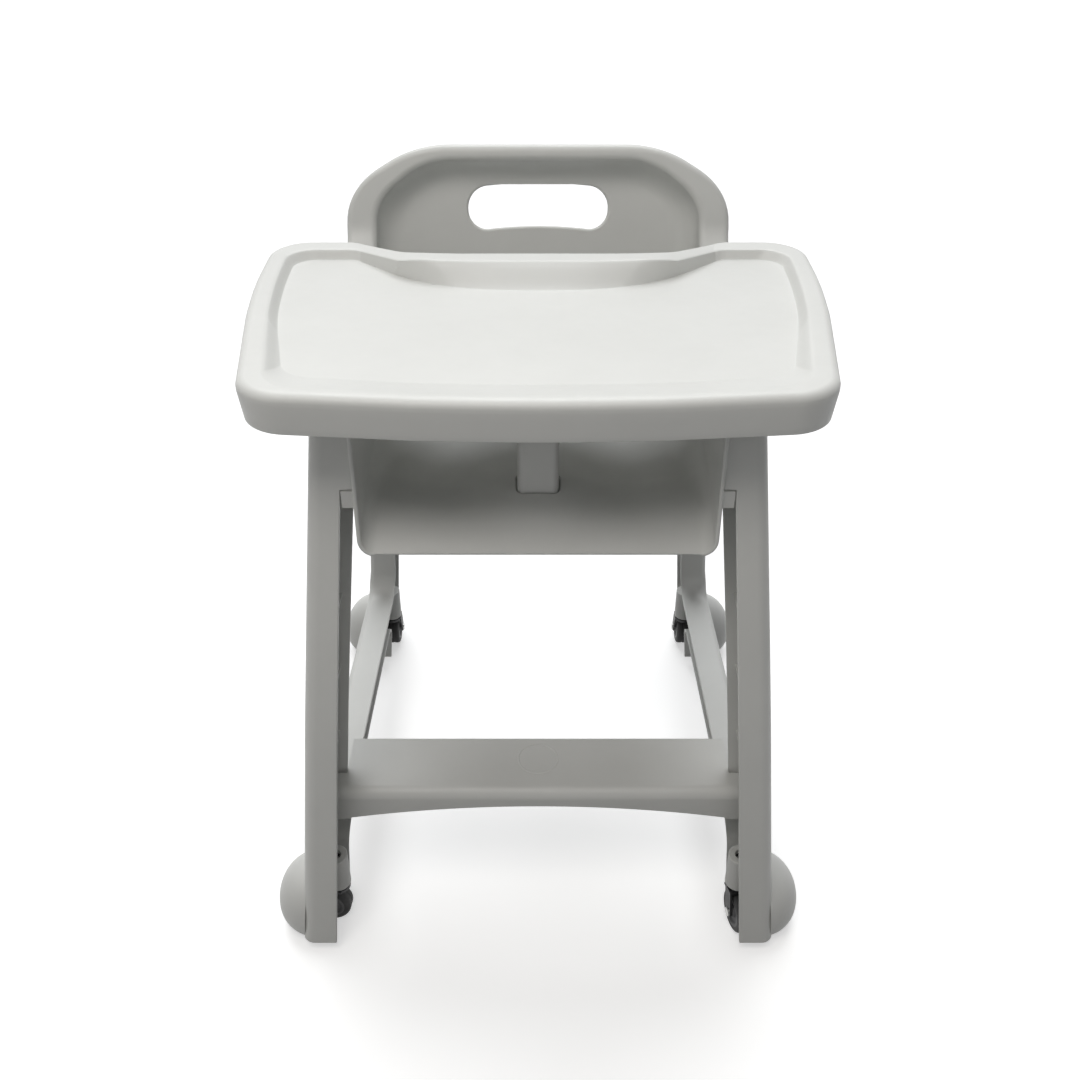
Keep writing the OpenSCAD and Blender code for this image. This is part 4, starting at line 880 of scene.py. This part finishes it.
def tray_object():
    outer = tray_loop(front=TRAY_FRONT, corner_r=48, side=TRAY_HALF, rear=TRAY_BACK,
                      shoulder=36, belly=TRAY_BACK - 72, belly_r=60)
    on = normals(outer)
    rim = tray_loop(front=TRAY_FRONT - 15, corner_r=40, side=TRAY_HALF - 22, rear=TRAY_BACK - 30,
                    shoulder=20, belly=16, belly_r=60)
    rim = belly_arc(rim, low=19, reach=186, high=88, power=5.2)
    rn = normals(rim)
    floor = tray_loop(front=TRAY_FRONT - 55, corner_r=34, side=TRAY_HALF - 29.5, rear=TRAY_BACK - 35,
                      shoulder=18, belly=-4, belly_r=90)
    floor = belly_arc(floor, low=-8, reach=190, high=84, power=2.6)
    fn = normals(floor)
    rise = [CREST * (1 - ease(110, 190, abs(p[0]))) if p[1] > 0 else 0 for p in outer]
    skirt, dish, er, t = ARM_Z + GAP, RIM_Z - DISH, 9, TRAY_WALL

    def at(p, q, d, z, up):
        return [(a[0] + b[0] * d, a[1] + b[1] * d, z + h * up) for a, b, h in zip(p, q, rise)]

    def slope(v, under=0):
        """Ring v of the way from the rim down to the floor."""
        out = []
        for i in range(len(outer)):
            a = mix(rim[i], floor[i], v)
            fall = 0.64 * (1 - v) + 0.18 * (1 + math.cos(math.pi * v))
            z = dish + (RIM_Z + rise[i] - dish) * 0.93 * fall - under
            out.append((a[0], a[1], z))
        return out

    rings = [at(floor, fn, -t, dish - t, 0)]
    rings += [slope(v, t) for v in (0.8, 0.6, 0.4, 0.2)]
    rings += [at(rim, rn, -t, RIM_Z - t, 1), at(outer, on, er + 1, RIM_Z - t, 1),
              at(outer, on, er * 0.6, RIM_Z - er * 0.7, 1), at(outer, on, t + 1, RIM_Z - er - 1, 1),
              at(outer, on, t + 3, skirt + 0.4, 0), at(outer, on, t + 2.6, skirt, 0),
              at(outer, on, 3.6, skirt, 0), at(outer, on, 3, skirt + 0.6, 0)]
    rings += [at(outer, on, 3 - 3 * v, mix(skirt, RIM_Z - er - 2, v), v) for v in (0.25, 0.5, 0.75, 1)]
    rings += [at(outer, on, d, RIM_Z - h, 1) for d, h in arc(er, er, er, -168.75, -90, 7)]
    rings += [at(rim, rn, -3, RIM_Z, 1), at(rim, rn, -1.6, RIM_Z - 0.3, 1)]
    rings += [[(p[0], p[1], mix(RIM_Z - 0.9 + h, q[2], 0.5)) for p, h, q in zip(rim, rise, slope(0))]]
    rings += [slope(v) for v in (0.08, 0.16, 0.25, 0.35, 0.45, 0.55, 0.65, 0.75, 0.85, 0.93)]
    rings += [at(floor, fn, 0, dish, 0)]
    parts = [stack("tray_skin", rings, True, 60)]

    def block(x, y, z0, z1, w, d, r=0.8):
        ring = round_bar(w, d, r, 4)
        parts.append(stack("tray_rib", [[(x + a, y + b, z) for a, b in ring] for z in (z0, z1)], True, 60))

    top = dish - t / 2
    for s in (-1, 1):
        for x in (209, 187):
            block(s * x, -35, skirt, top, 4, 230)
        for y in (-150, -40, 60):
            block(s * 198, y, skirt + 6, top, 20, 4)
    block(0, -POST_Y, dish - 16, top, POST_W + 34, POST_T + 10, 6)
    ob = join("tray_top", parts)
    smooth(ob, 60)
    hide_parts("tray")
    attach(ob, "tray")
    return ob


tray = tray_object()


def post_object():
    low, high = SOCKET_TOP - SOCKET_H + SOCKET_FLOOR + GAP, RIM_Z - DISH - 16

    def bar(d, z, w=POST_W, t=POST_T, r=POST_R):
        """Section of the post, or of its flange, inset by d."""
        return [(x, y - POST_Y, z) for x, y in round_bar(w - 2 * d, t - 2 * d, r - d)]

    rings = [bar(3, low), bar(1.2, low + 0.5), bar(0.3, low + 1.5), bar(0, low + 3)]
    rings += [bar(0, mix(low, high - 8, k / 6)) for k in range(1, 7)]
    for k in (1, 2, 3):
        fx, fy = 1 + 0.04 * k * k / 9, 1 + 0.02 * k * k / 9
        rings += [[(x * fx, (y + POST_Y) * fy - POST_Y, high - 8 + k) for x, y, _ in bar(0, 0)]]
    body = stack("post_bar", rings, True, 40)
    steps = ((1, -5), (0.3, -4.6), (0, -4), (0, -0.4), (0.4, 0))
    flange = stack("post_flange", [bar(d, high + h, POST_W + 34, POST_T + 2, 6) for d, h in steps], True, 40)
    ob = join("post", [body, flange])
    smooth(ob, 40)
    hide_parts("crotch_post")
    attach(ob, "tray")
    return ob


post = post_object()


# ---------------------------------------------------------------- footrest
def footrest_object():
    H, ARCH, DEPTH, REAR_H, T, NOSE_R, BACK_R = 41.5, 19, 85, 22, 4, 12, 5
    REACH, RING_Y, RING_R = 222, -184, 22
    R = ((REACH - 10) ** 2 + ARCH ** 2) / (2 * ARCH)
    y0, y1, zr = -REST_FRONT, -REST_FRONT + DEPTH, REST_Z - REAR_H
    nose, heel = (y0 + NOSE_R, REST_Z - NOSE_R), (y1 - BACK_R, REST_Z - BACK_R)

    def low(x):
        c = REST_Z - H + ARCH - R
        return max(REST_Z - H, c + math.sqrt(max(0, R * R - x * x)))

    def section(x):
        zb = low(x)
        return ([[y0 + 1, zb], [y0, zb + 1]] + [[y0, mix(zb + 1, nose[1], k / 4)] for k in (1, 2, 3)]
                + arc(*nose, NOSE_R, 180, 90, 10) + [[y0 + 30, REST_Z], [y0 + 55, REST_Z]]
                + arc(*heel, BACK_R, 90, 0, 6)
                + [[y1, zr + EDGE], [y1 - EDGE, zr], [y1 - T + EDGE, zr], [y1 - T, zr + EDGE]]
                + arc(*heel, BACK_R - T, 0, 90, 3) + arc(*nose, NOSE_R - T, 90, 180, 5)
                + [[y0 + T, zb + EDGE], [y0 + T - EDGE, zb]])

    rear_end = lip_x(-200, REST_Z) - GAP
    xs = [rear_end * k / 48 for k in range(-48, 49)]
    parts = [stack("rest_bar", [[(x, y, z) for y, z in section(x)] for x in xs], True, 35)]

    def plate(x0, x1, pts):
        parts.append(stack("rest_plate", [[(x, y, z) for y, z in pts] for x in (x0, x1)], True, 30))

    def filled(x, back=y1, grow=0.0):
        """Solid section, inset by grow; short of the rear edge it stays square."""
        zb = low(x)
        top = [[y0 + grow, zb]] + arc(*nose, NOSE_R - grow, 180, 90, 10)
        if back < y1:
            return top + [[back, REST_Z - grow], [back, zb]]
        return top + [[heel[0], REST_Z - grow], [y1 - grow, heel[1]], [y1 - grow, zr],
                      [y0 + 36, zr], [y0 + 36, zb]]

    for x in (-150, -75, 0, 75, 150):
        plate(x - 1.5, x + 1.5, filled(x, y1, 2))
    for s in (-1, 1):
        plate(s * (rear_end - 4), s * (rear_end - 0.05), filled(rear_end, y1, 0.3))
        plate(s * (rear_end - 0.1), s * REACH, filled(REACH, -206, 0.0))
    # plain moulded ring in the middle of the top
    bead = [(RING_R + 1.1 * math.cos(a), 0.5 * math.sin(a)) for a in turns(12)]
    rings = [[(r * math.cos(a), RING_Y + r * math.sin(a), REST_Z + h) for r, h in bead] for a in turns(120)]
    parts.append(stack("rest_ring", rings, False, 60, False, True))
    ob = join("rest", parts)
    smooth(ob, 35)
    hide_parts("footrest")
    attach(ob, "chair")
    return ob


rest = footrest_object()


# ---------------------------------------------------------------- castors
def lathe(name, profile, centre, yaw, seg=96, angle=35):
    """Body of revolution round a wheel axle: profile of [radius, along]."""
    n = len(profile)
    ca, sa = math.cos(yaw), math.sin(yaw)
    verts, faces = [], []
    for a in turns(seg):
        for r, h in profile:
            y, z = r * math.cos(a), r * math.sin(a)
            verts.append((centre[0] + h * ca - y * sa, centre[1] + h * sa + y * ca, centre[2] + z))
    for k in range(seg):
        for q in range(n):
            a, b = k * n, ((k + 1) % seg) * n
            faces.append((a + q, b + q, b + (q + 1) % n, a + (q + 1) % n))
    return mesh_object(name, verts, faces, angle, False)


# side, end and resting swivel angle of each castor
YAWS = {"fl": (-1, -1, 85), "fr": (1, -1, 193), "rl": (-1, 1, 0), "rr": (1, 1, 0)}
WHEEL_D, WHEEL_W, TRAIL, AXLE_D, TYRE_H = 50, 19, 13, 6, 7


def wheels():
    out = []
    for key, (sx, sy, yaw) in YAWS.items():
        bx = sx * (SWIVEL_X - (2 * SWIVEL_Y * TOE if sy > 0 else 0))
        a = math.radians(yaw)
        c = (bx - TRAIL * math.sin(a), sy * SWIVEL_Y + TRAIL * math.cos(a), WHEEL_D / 2)
        w, r, hr = WHEEL_W / 2, WHEEL_D / 2, WHEEL_D / 2 - TYRE_H
        tread = [(r, -1.4), (r - 0.5, -0.9), (r - 0.5, 0.9), (r, 1.4)]
        tyre = ([(hr, w - 0.5), (hr, -w + 0.5)] + arc(r - 4, -w + 4.5, 4, -90, 0, 8) + tread
                + arc(r - 4, w - 4.5, 4, 0, 90, 8))
        t = lathe("wheel_tyre_" + key, tyre, c, a)
        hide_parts("tyre_" + key)
        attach(t, "wheel_" + key)
        b = AXLE_D / 2 + 0.05
        half = [(b, -w), (6.6, -w), (7, -w + 0.4), (8, -w + 2.8), (8.6, -w + 3), (hr - 4.4, -w + 3),
                (hr - 3.8, -w + 2.6), (hr - 3, -w + 0.7), (hr - 2.7, -w + 0.5), (hr, -w + 0.5)]
        hub = half + [(x, -y) for x, y in reversed(half)]
        h = lathe("wheel_hub_" + key, hub, c, a)
        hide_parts("hub_" + key)
        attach(h, "wheel_" + key)
        out += [t, h]
    return out


wheel_parts = wheels()

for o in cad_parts.values():
    if not o.hide_render:
        for p in o.data.polygons:
            p.use_smooth = True
        smooth(o, 30, False)


# ---------------------------------------------------------------- materials
def nodes_of(name):
    m = bpy.data.materials.new(name)
    m.use_nodes = True
    t = m.node_tree
    return m, t, t.nodes["Principled BSDF"]


def noise(t, vec, scale, detail=2.0, rough=0.5):
    n = t.nodes.new("ShaderNodeTexNoise")
    n.inputs["Scale"].default_value = scale
    n.inputs["Detail"].default_value = detail
    n.inputs["Roughness"].default_value = rough
    t.links.new(vec, n.inputs["Vector"])
    return n.outputs["Fac"]


def span(t, value, a, b, lo, hi):
    n = t.nodes.new("ShaderNodeMapRange")
    for k, v in (("From Min", a), ("From Max", b), ("To Min", lo), ("To Max", hi)):
        n.inputs[k].default_value = v
    t.links.new(value, n.inputs["Value"])
    return n.outputs["Result"]


def blend_colour(t, fac, a, b):
    n = t.nodes.new("ShaderNodeMix")
    n.data_type = "RGBA"
    n.inputs["A"].default_value = (*a, 1)
    n.inputs["B"].default_value = (*b, 1)
    t.links.new(fac, n.inputs["Factor"])
    return n.outputs["Result"]


def bump(t, height, strength, distance, below=None):
    n = t.nodes.new("ShaderNodeBump")
    n.inputs["Strength"].default_value = strength
    n.inputs["Distance"].default_value = distance
    t.links.new(height, n.inputs["Height"])
    if below is not None:
        t.links.new(below, n.inputs["Normal"])
    return n.outputs["Normal"]


def finish(name, dark, light, rough, grain, depth, wave=0.0, metal=0.0):
    """Mottled colour and roughness under a fine grain, and a slow wave where one is given."""
    m, t, p = nodes_of(name)
    c = t.nodes.new("ShaderNodeTexCoord").outputs["Object"]
    p.inputs["Metallic"].default_value = metal
    mottle = span(t, noise(t, c, 9, 5, 0.7), 0.3, 0.7, 0, 1)
    t.links.new(blend_colour(t, mottle, dark, light), p.inputs["Base Color"])
    t.links.new(span(t, noise(t, c, 60, 4, 0.65), 0.3, 0.7, rough[0], rough[1]), p.inputs["Roughness"])
    n = bump(t, noise(t, c, grain, 1, 0.5), 0.3, depth)
    if wave:
        n = bump(t, noise(t, c, 22, 1, 0.4), 0.4, wave, n)
    t.links.new(n, p.inputs["Normal"])
    return m


MATS = {name: finish(name, *how) for name, how in {
    "moulded_plastic": ((0.632, 0.637, 0.618), (0.662, 0.667, 0.648), (0.4, 0.5), 1500, 0.0001, 0.00006),
    "castor_plastic": ((0.012, 0.012, 0.013), (0.022, 0.022, 0.023), (0.38, 0.5), 1300, 0.0001),
    "hub_plastic": ((0.05, 0.05, 0.052), (0.075, 0.075, 0.078), (0.42, 0.55), 1300, 0.0001),
    "tyre_rubber": ((0.014, 0.014, 0.014), (0.028, 0.028, 0.028), (0.55, 0.72), 1800, 0.00015),
    "zinc_steel": ((0.5, 0.5, 0.49), (0.62, 0.62, 0.61), (0.28, 0.42), 900, 0.00008, 0, 1.0),
}.items()}
# material by the start of a node's name, the longer start first where two fit
WORN = {"seat_bolts": "zinc_steel", "footrest_bolts": "zinc_steel", "post_screws": "zinc_steel",
        "side_frame": "moulded_plastic", "seat": "moulded_plastic", "footrest": "moulded_plastic",
        "tray": "moulded_plastic", "crotch": "moulded_plastic", "sleeve": "castor_plastic",
        "fork": "castor_plastic", "stem": "zinc_steel", "axle": "zinc_steel", "hub": "hub_plastic",
        "tyre": "tyre_rubber"}


def dress(ob, mat):
    ob.data.materials.clear()
    ob.data.materials.append(MATS[mat])


for n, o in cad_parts.items():
    dress(o, [WORN[k] for k in WORN if n.startswith(k)][0])
for o in frames + [seat, tray, post, rest]:
    dress(o, "moulded_plastic")
for o in wheel_parts:
    dress(o, "tyre_rubber" if "tyre" in o.name else "hub_plastic")


# ---------------------------------------------------------------- stage
def seen_by(t, *rays):
    """1 for the kinds of ray named, 0 for the others."""
    path = t.nodes.new("ShaderNodeLightPath")
    out = path.outputs[rays[0]]
    for ray in rays[1:]:
        m = t.nodes.new("ShaderNodeMath")
        m.operation = "MAXIMUM"
        t.links.new(out, m.inputs[0])
        t.links.new(path.outputs[ray], m.inputs[1])
        out = m.outputs[0]
    return out


# the floor is white to the camera and grey to bounced light, so it lights the chair little
FLOOR_GREY, FLOOR_WHITE, FLOOR_GLOW, FILL = (0.2, 0.2, 0.2), (0.78, 0.78, 0.78), 0.5, 0.2

floor_me = bpy.data.meshes.new("floor")
floor_me.from_pydata([(-30, -30, 0), (30, -30, 0), (30, 60, 0), (-30, 60, 0)], [], [(0, 1, 2, 3)])
floor = link("floor", floor_me)
fm, ft, fp = nodes_of("floor")
seen = seen_by(ft, "Is Camera Ray", "Is Glossy Ray", "Is Transmission Ray")
ft.links.new(blend_colour(ft, seen, FLOOR_GREY, FLOOR_WHITE), fp.inputs["Base Color"])
fp.inputs["Roughness"].default_value = 1.0
fp.inputs["Emission Color"].default_value = (1, 1, 1, 1)
ft.links.new(span(ft, seen, 0, 1, 0, FLOOR_GLOW), fp.inputs["Emission Strength"])
fp.inputs["Specular IOR Level"].default_value = 0.0
floor_me.materials.append(fm)
floor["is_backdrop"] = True

world = bpy.data.worlds.new("world")
bpy.context.scene.world = world
world.use_nodes = True
wt = world.node_tree
bg = wt.nodes["Background"]
bg.inputs["Color"].default_value = (1, 1, 1, 1)
wt.links.new(span(wt, seen_by(wt, "Is Camera Ray", "Is Glossy Ray"), 0, 1, FILL, 1.0), bg.inputs["Strength"])


def aimed(name, data, loc, way):
    ob = link(name, data)
    ob.location = loc
    ob.rotation_euler = way.to_track_quat("-Z", "Y").to_euler()


def lamp(name, loc, aim, size, power):
    d = bpy.data.lights.new(name, "AREA")
    d.shape = "RECTANGLE"
    d.size, d.size_y = size
    d.energy = power
    d.color = (1.0, 0.965, 0.92)
    aimed(name, d, loc, Vector(aim) - Vector(loc))


sun = bpy.data.lights.new("top_soft", "SUN")
sun.energy, sun.angle = 2.15, math.radians(45)
sun.color = (0.975, 0.99, 1.0)
aimed("top_soft", sun, (0, 0, 0), Vector((0.06, -0.55, -1)))
lamp("left_fill", (-2.8, -1.6, 1.5), (0, 0, 0.4), (2.6, 2.6), 9)
lamp("front_top", (-0.3, -1.05, 2.2), (0, 0.15, 0.68), (1.1, 0.8), 13.5)

# camera: film width in mm, focal length and picture width in pixels, tilt down in degrees
FILM, FOCAL, PICTURE, TILT = 36, 1067, 1080, 33.9
cam = bpy.data.cameras.new("camera")
cam.sensor_width = FILM
cam.lens = FILM * FOCAL / PICTURE
cam.shift_x = 2 / PICTURE
cam.clip_start, cam.clip_end = 0.05, 200
cam_ob = link("camera", cam)
cam_ob.location = (0, -1.040, 1.060)
cam_ob.rotation_euler = (math.radians(90 - TILT), 0, 0)
bpy.context.scene.camera = cam_ob
bpy.context.scene.view_settings.view_transform = "Standard"

{"cad": bounds_cad, "shown": plain(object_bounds())}
